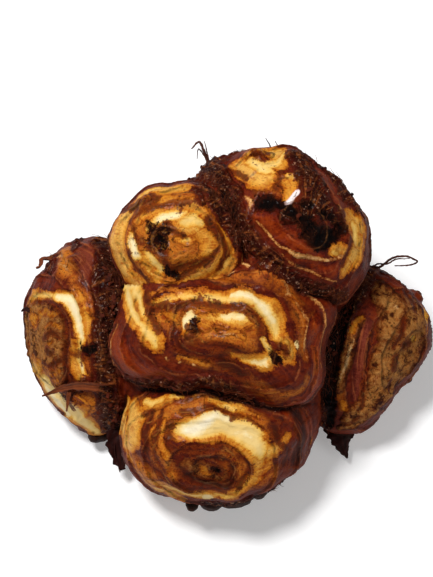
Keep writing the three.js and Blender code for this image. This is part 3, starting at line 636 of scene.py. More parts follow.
def along_line(a, b, line):
    """How far inside a tapered line each place is, in millimetres. Outside is below zero."""
    best = np.full(len(a), -1e3)
    line = list(line) if len(line) > 1 else [line[0], line[0]]
    for (a0, b0, w0), (a1, b1, w1) in zip(line, line[1:]):
        run = max((a1 - a0) ** 2 + (b1 - b0) ** 2, 1e-6)
        t = np.clip(((a - a0) * (a1 - a0) + (b - b0) * (b1 - b0)) / run, 0, 1)
        off = np.hypot(a - a0 - t * (a1 - a0), b - b0 - t * (b1 - b0))
        best = np.maximum(best, (w0 + t * (w1 - w0)) / 2 - off)
    return best


def read_skin(points, normals):
    """Where each point lies on its head, and how far inside every kind of mark it is."""
    count = len(points)
    reading = [head.read(points) for head in HEADS.values()]
    heights = np.array([height for height, _, _ in reading])
    owner = heights.argmin(0)
    rows = np.arange(count)
    out = np.array([r[1] for r in reading])[owner, rows]
    round_ = np.array([r[2] for r in reading])[owner, rows]
    names = list(HEADS)
    for one, other in (SEAM, SEAM[::-1]):
        heights[names.index(other), owner == names.index(one)] += SEAM_RISE
    gap = np.sort(heights, axis=0)[1]
    drift = cloud(points, 9, 0) * 1.1 + cloud(points, 3.4, 5) * 0.5
    a, b, lip = (np.zeros(count) for _ in range(3))
    scar = np.full(count, FIELD_REACH)
    lie = np.zeros((count, 3))
    kinds = sorted({mark[0] for marks in MARKS.values() for mark in marks})
    fields = {kind: np.full(count, -FIELD_REACH) for kind in kinds}
    for index, (name, head) in enumerate(HEADS.items()):
        mine = np.flatnonzero(owner == index)
        a[mine], b[mine] = head.flat(out[mine], round_[mine])
        size = np.hypot(a[mine], b[mine]) / np.maximum(out[mine], 1e-3)
        for degrees in head.scars:
            off = (out[mine] - math.radians(degrees)) * size + drift[mine, 0] * 1.2
            lip[mine] += SCAR_STEP * step(off, -0.8, 0.5) * np.exp(-np.maximum(off, 0) / SCAR_FADE)
            scar[mine] = np.where(np.abs(off) < np.abs(scar[mine]), off, scar[mine])
        for kind, *line in MARKS.get(name, ()):
            inside = along_line(a[mine] + drift[mine, 1], b[mine] + drift[mine, 2], line)
            fields[kind][mine] = np.maximum(fields[kind][mine], inside)
        for on, bud_out, bud_round, radius in SIDE_BUDS:
            if on != name:
                continue
            bud_a, bud_b = head.flat(math.radians(bud_out), math.radians(bud_round))
            off = np.hypot(a[mine] - bud_a, b[mine] - bud_b) / radius
            lip[mine] += BUD_REACH * np.interp(off, *BUD_RISE)
            near = off < 1.3
            scar[mine] = np.where(near, (off - 0.62) * radius, scar[mine])
        lie[mine] = np.cross(normals[mine], points[mine] - head.at - head.axis * head.reach)
    ring = out * RING_RADIUS
    around = ring / RING_STRETCH
    along = np.stack([around * np.cos(round_), around * np.sin(round_), ring], 1)
    along += HEADS_APART * owner[:, None]
    underside = step(0.35 - normals[:, 2], 0, 0.5)
    for turn, (kind, length, level) in enumerate(UNDERSIDE_MARKS):
        rubbed = (cloud(along, length, 11 + 7 * turn)[:, 0] - level) * length
        fields[kind] = np.maximum(fields[kind], rubbed - FIELD_REACH * 2 * (1 - underside))
    between = (points[:, 1] > BEHIND[0]) | (points[:, 2] < BEHIND[1])
    bare = np.where(between, heights.min(0) - HOLLOW_DEPTH, -FIELD_REACH)
    crevice = 1.2 - gap + drift[:, 0]
    fields["husk"] = np.maximum.reduce([fields["husk"], crevice, np.minimum(bare, HOLLOW_DEPTH)])
    fields = {kind: np.clip(field, -FIELD_REACH, FIELD_REACH) for kind, field in fields.items()}
    lie /= np.maximum(np.linalg.norm(lie, axis=1), 1e-6)[:, None]
    return {
        "fields": fields, "gap": gap, "scar": scar, "lip": lip, "lie": lie,
        "turn": np.stack([np.cos(round_), np.sin(round_), ring], 1),
    }  # fmt: skip


def skin_push(points, skin):
    """How far the skin stands out from the smooth form, in millimetres."""
    fields = skin["fields"]
    push = 0.75 * cloud(points, 12, 21)[:, 0] + 0.35 * cloud(points, 4.5, 23)[:, 1]
    push += skin["lip"]
    for kind, rise in MARK_SINK.items():
        push += rise * step(fields[kind], -0.4, 1.4)
    torn = cloud(points, 2.6, 31)[:, 0]
    rough = np.maximum(step(fields["husk"], -1, 1), 0.6 * step(fields["bark"], -1, 1))
    rough = np.maximum(rough, step(fields["rot"], -0.5, 0.8))
    push += 1.1 * rough * torn
    push -= 1.3 * step(3 - skin["gap"], 0, 3)
    return push


ATTRIBUTES = {
    "flesh": ("pale", "cream", "ochre"),
    "rind": ("rust", "gloss", "bark"),
    # The last of these also carries painted shade along the crevice between the middle and right heads.
    "wear_and_shade": ("edge", "stain", "rot"),
    "cover": ("mauve", "husk", "nick"),
}


def grown_skin():
    """The whole corm, with its scars, buds and worn places in its surface and its marks as attributes."""
    corm = grown_form()
    trimmed(corm)
    mesh = corm.data
    start = coordinates(mesh)
    points = to_crown(start)
    normals_row = np.empty(len(mesh.vertices) * 3)
    mesh.vertices.foreach_get("normal", normals_row)
    normals_row = normals_row.reshape(-1, 3)
    skin = read_skin(points, normals_row @ CROWN_TURN)
    push = skin_push(points, skin)
    resting = start[:, 2] < corm_low.z + 0.3 * MM
    push[resting] = 0
    moved = start + normals_row * (push * MM)[:, None]
    moved[:, 2] = np.maximum(moved[:, 2], corm_low.z)
    mesh.vertices.foreach_set("co", moved.ravel())
    mesh.polygons.foreach_set("use_smooth", [True] * len(mesh.polygons))
    for name, kinds in ATTRIBUTES.items():
        values = np.stack([skin["fields"][kind] for kind in kinds], 1)
        mesh.attributes.new(name, "FLOAT_VECTOR", "POINT").data.foreach_set("vector", values.ravel())
    mesh.attributes.new("turn", "FLOAT_VECTOR", "POINT").data.foreach_set("vector", skin["turn"].ravel())
    lie = skin["lie"] @ CROWN_TURN.T
    mesh.attributes.new("lie", "FLOAT_VECTOR", "POINT").data.foreach_set("vector", lie.ravel())
    mesh.attributes.new("scar", "FLOAT", "POINT").data.foreach_set("value", skin["scar"])
    mesh.attributes.new("gap", "FLOAT", "POINT").data.foreach_set("value", np.clip(skin["gap"], 0, 20))
    husky = step(skin["fields"]["husk"], -1.5, 2.0) * (0.15 + 0.85 * step(9 - skin["gap"], 0, 5))
    husky *= step((moved[:, 2] - corm_low.z) / MM, 6, 12)  # none on the side that it rests on
    mesh.attributes.new("husky", "FLOAT", "POINT").data.foreach_set("value", husky)
    mesh.update()
    return corm


# ---- Materials ----
MIX_FACTOR, MIX_A, MIX_B, MIX_RESULT = 0, 6, 7, 2  # sockets of a colour mix


def paint(code):
    """An sRGB hex colour, as the linear colour that the shader takes."""
    channels = [int(code[i : i + 2], 16) / 255 for i in (1, 3, 5)]
    return (*((c / 12.92 if c <= 0.04045 else ((c + 0.055) / 1.055) ** 2.4) for c in channels), 1.0)


def add(tree, kind, inputs=None, **settings):
    """Adds a node with its settings, and with its inputs set or linked. Gives back its outputs."""
    made = tree.nodes.new(kind)
    for name, value in settings.items():
        setattr(made, name, value)
    for name, value in (inputs or {}).items():
        if isinstance(value, bpy.types.NodeSocket):
            tree.links.new(value, made.inputs[name])
        else:
            made.inputs[name].default_value = value
    return made.outputs


def new_material(name):
    """A material with only its surface shader, and the tree, the shader and the Object coordinates."""
    material = bpy.data.materials.new(name)
    material.use_nodes = True
    tree = material.node_tree
    tree.nodes.clear()
    place = add(tree, "ShaderNodeTexCoord")["Object"]
    shader = tree.nodes.new("ShaderNodeBsdfPrincipled")
    add(tree, "ShaderNodeOutputMaterial", {"Surface": shader.outputs["BSDF"]})
    return material, tree, shader, place


# What shows on the skin, from the bottom up: the attribute and axis that say where, its colours with the
# depth inside its edge where each is reached, how ragged that edge is, all in millimetres, how much it
# covers, and its roughness.
SHOWS = [
    ("mauve", ((0.0, "#42120b"), (2.0, "#5e2015"), (4.5, "#7a3522")), 8.0, 0.92, 0.6),
    ("rust", ((-0.6, "#561e05"), (1.0, "#883e0c"), (2.8, "#ae5a14"), (4.8, "#c8741f")), 9.0, 0.95, 0.56),
    ("gloss", ((0.0, "#460c04"), (1.5, "#661a05"), (4.0, "#8c320a")), 7.0, 0.9, 0.34),
    ("bark", ((-0.5, "#4a1d06"), (1.0, "#7a3a10"), (2.6, "#a26028"), (4.5, "#be7e3c")), 9.0, 0.95, 0.75),
    (
        "ochre",
        ((-0.5, "#883a08"), (0.2, "#b25f10"), (1.0, "#cf7e1e"), (2.6, "#e09a34"), (4.5, "#ecb252")),
        6.0,
        1.0,
        0.5,
    ),
    ("cream", ((-0.4, "#c67618"), (0.4, "#e2a038"), (1.4, "#eebf62"), (3.6, "#f3d086")), 4.0, 1.0, 0.46),
    # Near-white flesh, in part a painted highlight where the wet flesh shines.
    ("pale", ((-0.4, "#f0ca7e"), (0.8, "#f7dda2"), (3.0, "#fdeecb")), 3.6, 1.0, 0.42),
    ("edge", ((-0.2, "#9a4f1c"), (0.3, "#cd8f4c"), (0.9, "#ecc084")), 1.6, 1.0, 0.4),
    ("stain", ((-0.7, "#96400a"), (0.1, "#722a07"), (1.0, "#4e1604"), (3.0, "#300a02")), 11.0, 0.92, 0.62),
    ("husk", ((-0.6, "#74260e"), (0.6, "#5c1808"), (2.2, "#461005"), (4.5, "#2c0a03")), 14.0, 0.96, 0.58),
    # Rot, and painted shade along the crevice between the middle and right heads: near-black.
    ("rot", ((-0.5, "#511902"), (0.3, "#220802"), (1.2, "#0d0301"), (3.0, "#050101")), 11.0, 1.0, 0.85),
    # A small near-white patch with crisp edges.
    ("nick", ((-0.2, "#e6b9b2"), (0.4, "#fbe9e4"), (2.0, "#fff4f0")), 0.5, 1.0, 0.3),
]
# Flecks inside the marks: what they are in, the noise that places them and its values where they begin and
# are full, their colour, and how much they cover.
FLECKS = [
    ("bark", "ragged", 0.53, 0.66, "#c68f4e", 0.65),
    ("bark", "ragged", 0.47, 0.38, "#361202", 0.85),
    ("bark", "speck", 0.56, 0.66, "#2c0e02", 0.8),
    ("rust", "rings", 0.54, 0.66, "#cf8534", 0.5),
    ("rust", "speck", 0.55, 0.64, "#431202", 0.8),
    ("mauve", "rings", 0.54, 0.66, "#af5b2e", 0.55),
    ("gloss", "rings", 0.55, 0.68, "#a5400f", 0.5),
    ("ochre", "threads", 0.58, 0.68, "#a3450a", 0.6),
    ("husk", "threads", 0.53, 0.64, "#b0602c", 0.75),
    # Painted glints: pale specks in the wet husk.
    ("husk", "speck", 0.6, 0.66, "#d0a284", 0.75),
]
OVER = {  # marks that hide the flecks of those under them
    "bark": ("ochre", "stain", "husk"),
    "rust": ("ochre", "bark", "husk"),
    "mauve": ("ochre", "rust", "husk"),
    "gloss": ("ochre", "bark", "husk"),
    "ochre": ("cream", "stain", "husk"),
    "husk": ("rot",),
}
DEPTHS = (-1.0, 5.0)  # range of depth that the colour ramps cover


def ramp_over_depth(tree, depth, stops):
    """Colours that change with the depth inside a mark's edge."""
    spread = add(
        tree, "ShaderNodeMapRange", {"Value": depth, "From Min": DEPTHS[0], "From Max": DEPTHS[1]}
    )["Result"]
    ramp = add(tree, "ShaderNodeValToRGB", {"Fac": spread})
    elements = ramp["Color"].node.color_ramp.elements
    places = [(at - DEPTHS[0]) / (DEPTHS[1] - DEPTHS[0]) for at, _ in stops]
    elements[0].position, elements[0].color = places[0], paint(stops[0][1])
    elements[1].position, elements[1].color = places[-1], paint(stops[-1][1])
    for place, (_, code) in zip(places[1:-1], stops[1:-1]):
        elements.new(place).color = paint(code)
    return ramp["Color"]


def damp_taro_skin():
    """Damp taro rind, scrubbed but not peeled: satin maroon skin over starchy flesh, glossy where it is
    wet and smooth, dull and corky where it has healed."""
    material, tree, shader, place = new_material("damp_taro_skin")
    axes = {}
    for name, kinds in ATTRIBUTES.items():
        stored = add(tree, "ShaderNodeAttribute", attribute_name=name)["Vector"]
        split = add(tree, "ShaderNodeSeparateXYZ", {0: stored})
        axes.update({kind: split[axis] for kind, axis in zip(kinds, "XYZ")})
    scar = add(tree, "ShaderNodeAttribute", attribute_name="scar")["Fac"]
    gap = add(tree, "ShaderNodeAttribute", attribute_name="gap")["Fac"]
    turn = add(tree, "ShaderNodeAttribute", attribute_name="turn")["Vector"]

    # Grain of the growth: rings round the bud and threads out from it, in millimetres along the ring axis.
    grain = {}
    for name, across, apart, rough in (("rings", 1.9, 1.4, 0.65), ("threads", 15.0, 9.0, 0.6)):
        laid = add(
            tree, "ShaderNodeVectorMath", {0: turn, 1: (across, across, 1 / apart)}, operation="MULTIPLY"
        )[0]
        grain[name] = add(
            tree, "ShaderNodeTexNoise", {"Vector": laid, "Scale": 1.0, "Detail": 5.0, "Roughness": rough}
        )["Fac"]
    blotch, ragged, speck, fine = (
        add(
            tree,
            "ShaderNodeTexNoise",
            {
                "Vector": place,
                "Scale": 1 / (length * MM),
                "Detail": detail,
                "Roughness": rough,
                "Distortion": bend,
            },
        )["Fac"]
        for length, detail, rough, bend in (
            (13, 5, 0.6, 0.8), (4.6, 7, 0.7, 0.5), (1.6, 4, 0.65, 0), (0.7, 2, 0.5, 0)
        )
    )

    # How far the edge of any mark is torn in or out, mostly within half either way.
    tear = add(tree, "ShaderNodeMath", {0: ragged, 1: 0.6, 2: -0.84}, operation="MULTIPLY_ADD")[0]
    for part, much in ((grain["rings"], 0.3), (grain["threads"], 0.4), (speck, 0.26), (fine, 0.14)):
        tear = add(tree, "ShaderNodeMath", {0: part, 1: much, 2: tear}, operation="MULTIPLY_ADD")[0]

    # Bare rind, from near-black to red-brown, streaked along its rings.
    patchy = add(tree, "ShaderNodeMath", {0: blotch, 1: 5.0, 2: -1.9}, operation="MULTIPLY_ADD")[0]
    patchy = add(tree, "ShaderNodeMath", {0: tear, 1: 6.0, 2: patchy}, operation="MULTIPLY_ADD")[0]
    patchy = add(tree, "ShaderNodeMath", {0: patchy, 1: 1.4}, operation="ADD")[0]
    colour = ramp_over_depth(
        tree, patchy, (
            (-1.0, "#240502"), (0.6, "#471004"), (2.0, "#661e07"), (3.6, "#82300a"), (5.0, "#944011")
        )
    )
    rough = add(tree, "ShaderNodeMath", {0: speck, 1: 0.4, 2: 0.34}, operation="MULTIPLY_ADD")[0]

    bared = {}
    for kind, stops, rag, cover, dull in SHOWS:
        depth = add(tree, "ShaderNodeMath", {0: tear, 1: rag, 2: axes[kind]}, operation="MULTIPLY_ADD")[0]
        depth = add(tree, "ShaderNodeMath", {0: fine, 1: 0.7, 2: depth}, operation="MULTIPLY_ADD")[0]
        depth = add(tree, "ShaderNodeMath", {0: depth, 1: -0.35}, operation="ADD")[0]
        low = stops[0][0]
        shown = add(
            tree,
            "ShaderNodeMapRange",
            {"Value": depth, "From Min": low - 0.25, "From Max": low + 0.45, "To Min": 0.0, "To Max": cover},
            interpolation_type="SMOOTHSTEP",
        )["Result"]
        bared[kind] = shown
        shade = ramp_over_depth(tree, depth, stops)
        colour = add(
            tree, "ShaderNodeMix", {MIX_FACTOR: shown, MIX_A: colour, MIX_B: shade}, data_type="RGBA"
        )[MIX_RESULT]
        rough = add(tree, "ShaderNodeMix", {0: shown, 2: rough, 3: dull})[0]

    flesh = add(tree, "ShaderNodeMath", {0: axes["pale"], 1: 1.6}, operation="ADD")[0]
    flesh = add(tree, "ShaderNodeMath", {0: flesh, 1: axes["cream"]}, operation="MAXIMUM")[0]
    # The near-white patch counts as bare flesh here.
    cut = add(tree, "ShaderNodeMath", {0: axes["nick"], 1: 2.4}, operation="ADD")[0]
    flesh = add(tree, "ShaderNodeMath", {0: flesh, 1: cut}, operation="MAXIMUM")[0]
    clean = add(
        tree,
        "ShaderNodeMapRange",
        {"Value": flesh, "From Min": 0.0, "From Max": 2.4, "To Min": 1.0, "To Max": 0.1},
    )["Result"]
    noises = {"ragged": ragged, "speck": speck, **grain}
    for kind, by, start, full, code, cover in FLECKS:
        within = add(
            tree, "ShaderNodeMapRange", {"Value": axes[kind], "From Min": 0.2, "From Max": 1.6}
        )["Result"]
        fleck = add(
            tree, "ShaderNodeMapRange", {"Value": noises[by], "From Min": start, "From Max": full}
        )["Result"]
        fleck = add(tree, "ShaderNodeMath", {0: fleck, 1: within}, operation="MULTIPLY")[0]
        fleck = add(tree, "ShaderNodeMath", {0: fleck, 1: cover}, operation="MULTIPLY")[0]
        for upper in OVER[kind]:
            bare = add(
                tree, "ShaderNodeMapRange", {"Value": axes[upper], "From Min": 0.4, "From Max": -0.4}
            )["Result"]
            fleck = add(tree, "ShaderNodeMath", {0: fleck, 1: bare}, operation="MULTIPLY")[0]
        colour = add(
            tree, "ShaderNodeMix", {MIX_FACTOR: fleck, MIX_A: colour, MIX_B: paint(code)}, data_type="RGBA"
        )[MIX_RESULT]

    # Brown creases under the lips of the scars, and rind rubbed paler on them.
    wander = add(tree, "ShaderNodeMath", {0: tear, 1: 3.0, 2: scar}, operation="MULTIPLY_ADD")[0]
    for low, high, far, code, cover in ((-1.6, -0.2, 0.5, "#170602", 0.8), (0.3, 0.7, 1.6, "#c9824a", 0.28)):
        rising = add(
            tree, "ShaderNodeMapRange", {"Value": wander, "From Min": low, "From Max": high}
        )["Result"]
        falling = add(
            tree, "ShaderNodeMapRange", {"Value": wander, "From Min": far, "From Max": high}
        )["Result"]
        both = add(tree, "ShaderNodeMath", {0: rising, 1: falling}, operation="MULTIPLY")[0]
        broken = add(
            tree, "ShaderNodeMapRange", {"Value": ragged, "From Min": 0.4, "From Max": 0.58}
        )["Result"]
        both = add(tree, "ShaderNodeMath", {0: both, 1: broken}, operation="MULTIPLY")[0]
        both = add(tree, "ShaderNodeMath", {0: both, 1: cover}, operation="MULTIPLY")[0]
        both = add(tree, "ShaderNodeMath", {0: both, 1: clean}, operation="MULTIPLY")[0]
        colour = add(
            tree, "ShaderNodeMix", {MIX_FACTOR: both, MIX_A: colour, MIX_B: paint(code)}, data_type="RGBA"
        )[MIX_RESULT]

    # A thin brown film and specks of rind left on everything, and painted shade: near-black in the crevices,
    # darker where the heads come closer.
    film = add(tree, "ShaderNodeMath", {0: grain["rings"], 1: 0.5, 2: 0.0}, operation="MULTIPLY_ADD")[0]
    film = add(tree, "ShaderNodeMath", {0: blotch, 1: 0.7, 2: film}, operation="MULTIPLY_ADD")[0]
    film = add(
        tree, "ShaderNodeMapRange", {"Value": film, "From Min": 0.6, "From Max": 0.86, "To Max": 0.5}
    )["Result"]
    dots = add(
        tree, "ShaderNodeMapRange", {"Value": speck, "From Min": 0.6, "From Max": 0.67, "To Max": 0.75}
    )["Result"]
    few = add(tree, "ShaderNodeMapRange", {"Value": ragged, "From Min": 0.46, "From Max": 0.6})["Result"]
    dots = add(tree, "ShaderNodeMath", {0: dots, 1: few}, operation="MULTIPLY")[0]
    film = add(tree, "ShaderNodeMath", {0: film, 1: clean}, operation="MULTIPLY")[0]
    dots = add(tree, "ShaderNodeMath", {0: dots, 1: clean}, operation="MULTIPLY")[0]
    # Painted shade: the narrower the gap to the next head, the nearer to black the colour.
    painted_crevice_shade = add(tree, "ShaderNodeMath", {0: ragged, 1: 4.0, 2: gap}, operation="MULTIPLY_ADD")[0]
    painted_crevice_shade = add(
        tree,
        "ShaderNodeMapRange",
        {"Value": painted_crevice_shade, "From Min": 6.0, "From Max": 3.0, "To Max": 0.9},
        interpolation_type="SMOOTHSTEP",
    )["Result"]
    burnt = add(tree, "ShaderNodeMapRange", {"Value": tear, "From Min": -0.16, "From Max": 0.04})["Result"]
    burnt = add(tree, "ShaderNodeMath", {0: burnt, 1: clean}, operation="SUBTRACT")[0]
    burnt = add(tree, "ShaderNodeMath", {0: burnt, 1: 1.0}, operation="ADD", use_clamp=True)[0]
    warm = add(
        tree,
        "ShaderNodeMix",
        {MIX_FACTOR: burnt, MIX_A: paint("#bd7c42"), MIX_B: paint("#ffffff")},
        data_type="RGBA",
    )[MIX_RESULT]
    colour = add(
        tree,
        "ShaderNodeMix",
        {MIX_FACTOR: 1.0, MIX_A: colour, MIX_B: warm},
        data_type="RGBA",
        blend_type="MULTIPLY",
    )[MIX_RESULT]
    for shown, code in ((film, "#5c2408"), (dots, "#381304"), (painted_crevice_shade, "#0a0202")):
        colour = add(
            tree, "ShaderNodeMix", {MIX_FACTOR: shown, MIX_A: colour, MIX_B: paint(code)}, data_type="RGBA"
        )[MIX_RESULT]

    # Relief too fine for the mesh, in millimetres.
    corky = add(
        tree, "ShaderNodeMapRange", {"Value": axes["bark"], "From Min": -0.5, "From Max": 1.0}
    )["Result"]
    shaggy = add(
        tree, "ShaderNodeMapRange", {"Value": axes["husk"], "From Min": -0.5, "From Max": 1.0}
    )["Result"]
    decayed = add(
        tree, "ShaderNodeMapRange", {"Value": axes["rot"], "From Min": -0.5, "From Max": 1.0}
    )["Result"]
    broken = add(tree, "ShaderNodeMath", {0: corky, 1: shaggy}, operation="MAXIMUM")[0]
    broken = add(tree, "ShaderNodeMath", {0: broken, 1: decayed}, operation="MAXIMUM")[0]
    height = add(tree, "ShaderNodeMath", {0: grain["rings"], 1: 0.5, 2: 0.0}, operation="MULTIPLY_ADD")[0]
    height = add(
        tree, "ShaderNodeMath", {0: grain["threads"], 1: 0.25, 2: height}, operation="MULTIPLY_ADD"
    )[0]
    height = add(tree, "ShaderNodeMath", {0: speck, 1: 0.3, 2: height}, operation="MULTIPLY_ADD")[0]
    height = add(tree, "ShaderNodeMath", {0: fine, 1: 0.1, 2: height}, operation="MULTIPLY_ADD")[0]
    lumpy = add(tree, "ShaderNodeMath", {0: ragged, 1: 3.0, 2: speck}, operation="MULTIPLY_ADD")[0]
    lumpy = add(tree, "ShaderNodeMath", {0: lumpy, 1: broken}, operation="MULTIPLY")[0]
    height = add(tree, "ShaderNodeMath", {0: height, 1: lumpy}, operation="ADD")[0]
    peeled = add(tree, "ShaderNodeMath", {0: bared["ochre"], 1: bared["cream"]}, operation="MAXIMUM")[0]
    peeled = add(tree, "ShaderNodeMath", {0: peeled, 1: bared["pale"]}, operation="MAXIMUM")[0]
    for gone, sunk in ((peeled, 0.5), (bared["stain"], 0.35), (bared["rot"], 0.8)):
        height = add(tree, "ShaderNodeMath", {0: gone, 1: -sunk, 2: height}, operation="MULTIPLY_ADD")[0]
    normal = add(tree, "ShaderNodeBump", {"Height": height, "Distance": MM, "Strength": 1.0})["Normal"]

    for name, value in (("Base Color", colour), ("Roughness", rough), ("Normal", normal)):
        tree.links.new(value, shader.inputs[name])
    shader.inputs["IOR"].default_value = 1.42
    shader.inputs["Specular IOR Level"].default_value = 0.1
    shader.inputs["Coat Weight"].default_value = 0.03
    shader.inputs["Coat Roughness"].default_value = 0.14
    return material


def dry_scrap(name, dark, light, length, dull, gloss):
    """Old leaf base, fibre or rootlet: papery strands with a dull sheen, streaked along their length."""
    material, tree, shader, place = new_material(name)
    shade = add(tree, "ShaderNodeAttribute", attribute_name="shade")["Fac"]
    spots = add(
        tree,
        "ShaderNodeTexNoise",
        {"Vector": place, "Scale": 1 / (length * MM), "Detail": 4.0, "Roughness": 0.65},
    )["Fac"]
    mixed = add(tree, "ShaderNodeMath", {0: spots, 1: 0.9, 2: -0.2}, operation="MULTIPLY_ADD")[0]
    mixed = add(
        tree, "ShaderNodeMath", {0: shade, 1: 0.75, 2: mixed}, operation="MULTIPLY_ADD", use_clamp=True
    )[0]
    colour = add(
        tree, "ShaderNodeMix", {MIX_FACTOR: mixed, MIX_A: paint(dark), MIX_B: paint(light)}, data_type="RGBA"
    )[MIX_RESULT]
    rough = add(tree, "ShaderNodeMath", {0: spots, 1: 0.3, 2: dull - 0.15}, operation="MULTIPLY_ADD")[0]
    normal = add(tree, "ShaderNodeBump", {"Height": spots, "Distance": 0.6 * MM, "Strength": 0.8})["Normal"]
    for socket, value in (("Base Color", colour), ("Roughness", rough), ("Normal", normal)):
        tree.links.new(value, shader.inputs[socket])
    shader.inputs["Specular IOR Level"].default_value = gloss
    return material


# ---- Husk, fibre and grit, by Geometry Nodes ----
def new_tree(name, sizes):
    """A Geometry Nodes tree with a geometry in and out, and its named sizes as inputs."""
    tree = bpy.data.node_groups.new(name, "GeometryNodeTree")
    tree.interface.new_socket("Geometry", in_out="INPUT", socket_type="NodeSocketGeometry")
    tree.interface.new_socket("Geometry", in_out="OUTPUT", socket_type="NodeSocketGeometry")
    for size in sizes:
        kind = {"Seed": "NodeSocketInt", "Material": "NodeSocketMaterial"}.get(size, "NodeSocketFloat")
        tree.interface.new_socket(size, in_out="INPUT", socket_type=kind)
    return tree


def scattered(tree, given, allowed, shorten=0.5):
    """Points on the skin where the attribute allows, each with a shade, turned to the grain of the growth."""
    where = add(tree, "GeometryNodeInputNamedAttribute", {"Name": allowed}, data_type="FLOAT")["Attribute"]
    grain = add(
        tree, "GeometryNodeInputNamedAttribute", {"Name": "lie"}, data_type="FLOAT_VECTOR"
    )["Attribute"]
    density = add(tree, "ShaderNodeMath", {0: where, 1: given["Density"]}, operation="MULTIPLY")[0]
    spread = add(
        tree,
        "GeometryNodeDistributePointsOnFaces",
        {"Mesh": given["Geometry"], "Density": density, "Seed": given["Seed"]},
        distribute_method="RANDOM",
    )
    shade = add(tree, "FunctionNodeRandomValue", {"Seed": given["Seed"]}, data_type="FLOAT")[1]
    points = add(
        tree,
        "GeometryNodeStoreNamedAttribute",
        {"Geometry": spread["Points"], "Name": "shade", "Value": shade},
        data_type="FLOAT",
        domain="POINT",
    )[0]
    flat = add(
        tree,
        "FunctionNodeAxesToRotation",
        {0: spread["Normal"], 1: grain},
        primary_axis="Z",
        secondary_axis="X",
    )[0]
    minus = add(tree, "ShaderNodeMath", {0: given["Spread"], 1: -1.0}, operation="MULTIPLY")[0]
    angle = add(
        tree, "FunctionNodeRandomValue", {2: minus, 3: given["Spread"], "Seed": 3}, data_type="FLOAT"
    )[1]
    turn = add(tree, "FunctionNodeAxisAngleToRotation", {"Axis": (0, 0, 1), "Angle": angle})[0]
    turned = add(tree, "FunctionNodeRotateRotation", {0: flat, 1: turn}, rotation_space="LOCAL")[0]
    shortest = add(tree, "ShaderNodeMath", {0: given["Length"], 1: shorten}, operation="MULTIPLY")[0]
    length = add(
        tree, "FunctionNodeRandomValue", {2: shortest, 3: given["Length"], "Seed": 5}, data_type="FLOAT"
    )[1]
    return points, turned, length


def fibre_tree():
    """Fine strands that lie on the skin round the heads, crossing, with one end lifting."""
    tree = new_tree("husk_fibres", ["Density", "Length", "Thickness", "Lift", "Spread", "Seed", "Material"])
    given = add(tree, "NodeGroupInput")
    points, turned, length = scattered(tree, given, "husky")
    line = add(tree, "GeometryNodeCurvePrimitiveLine", {"Start": (-0.5, 0, 0), "End": (0.5, 0, 0)})[0]
    line = add(tree, "GeometryNodeResampleCurve", {"Curve": line, "Count": 8})[0]
    laid = add(
        tree,
        "GeometryNodeInstanceOnPoints",
        {"Points": points, "Instance": line, "Rotation": turned, "Scale": length},
    )[0]
    laid = add(tree, "GeometryNodeRealizeInstances", {0: laid})[0]
    shade = add(tree, "GeometryNodeInputNamedAttribute", {"Name": "shade"}, data_type="FLOAT")["Attribute"]
    place = add(tree, "GeometryNodeInputPosition")[0]
    apart = add(tree, "ShaderNodeMath", {0: shade, 1: 37.0}, operation="MULTIPLY")[0]
    bend = add(
        tree,
        "ShaderNodeTexNoise",
        {"Vector": place, "W": apart, "Scale": 1 / (7 * MM), "Detail": 1.0},
        noise_dimensions="4D",
    )["Color"]
    bend = add(tree, "ShaderNodeVectorMath", {0: bend, 1: (-0.5, -0.5, -0.5)}, operation="ADD")[0]
    bend = add(tree, "ShaderNodeVectorMath", {0: bend, "Scale": 8 * MM}, operation="SCALE")[0]
    laid = add(tree, "GeometryNodeSetPosition", {"Geometry": laid, "Offset": bend})[0]
    normal = add(tree, "GeometryNodeInputNormal")[0]
    sampled = [
        add(
            tree,
            "GeometryNodeSampleNearestSurface",
            {"Mesh": given["Geometry"], "Value": field},
            data_type="FLOAT_VECTOR",
        )["Value"]
        for field in (place, normal)
    ]
    along = add(tree, "GeometryNodeSplineParameter")["Factor"]
    rise = add(tree, "ShaderNodeMath", {0: along, 1: 3.0}, operation="POWER")[0]
    rise = add(tree, "ShaderNodeMath", {0: rise, 1: given["Lift"]}, operation="MULTIPLY")[0]
    rise = add(
        tree, "ShaderNodeMath", {0: rise, 1: shade, 2: given["Thickness"]}, operation="MULTIPLY_ADD"
    )[0]
    rise = add(tree, "ShaderNodeVectorMath", {0: sampled[1], "Scale": rise}, operation="SCALE")[0]
    final = add(tree, "ShaderNodeVectorMath", {0: sampled[0], 1: rise}, operation="ADD")[0]
    laid = add(tree, "GeometryNodeSetPosition", {"Geometry": laid, "Position": final})[0]
    middle = add(tree, "ShaderNodeMath", {0: along, 1: 2.0, 2: -1.0}, operation="MULTIPLY_ADD")[0]
    middle = add(tree, "ShaderNodeMath", {0: middle, 1: 2.0}, operation="POWER")[0]
    thick = add(tree, "ShaderNodeMath", {0: middle, 1: -0.75, 2: 1.0}, operation="MULTIPLY_ADD")[0]
    thick = add(tree, "ShaderNodeMath", {0: thick, 1: given["Thickness"]}, operation="MULTIPLY")[0]
    round_ = add(tree, "GeometryNodeCurvePrimitiveCircle", {"Resolution": 3, "Radius": 1.0})[0]
    solid = add(
        tree,
        "GeometryNodeCurveToMesh",
        {"Curve": laid, "Profile Curve": round_, "Scale": thick, "Fill Caps": True},
    )[0]
    solid = add(tree, "GeometryNodeSetShadeSmooth", {0: solid})[0]
    solid = add(tree, "GeometryNodeSetMaterial", {"Geometry": solid, "Material": given["Material"]})[0]
    add(tree, "NodeGroupOutput", {0: solid})
    return tree


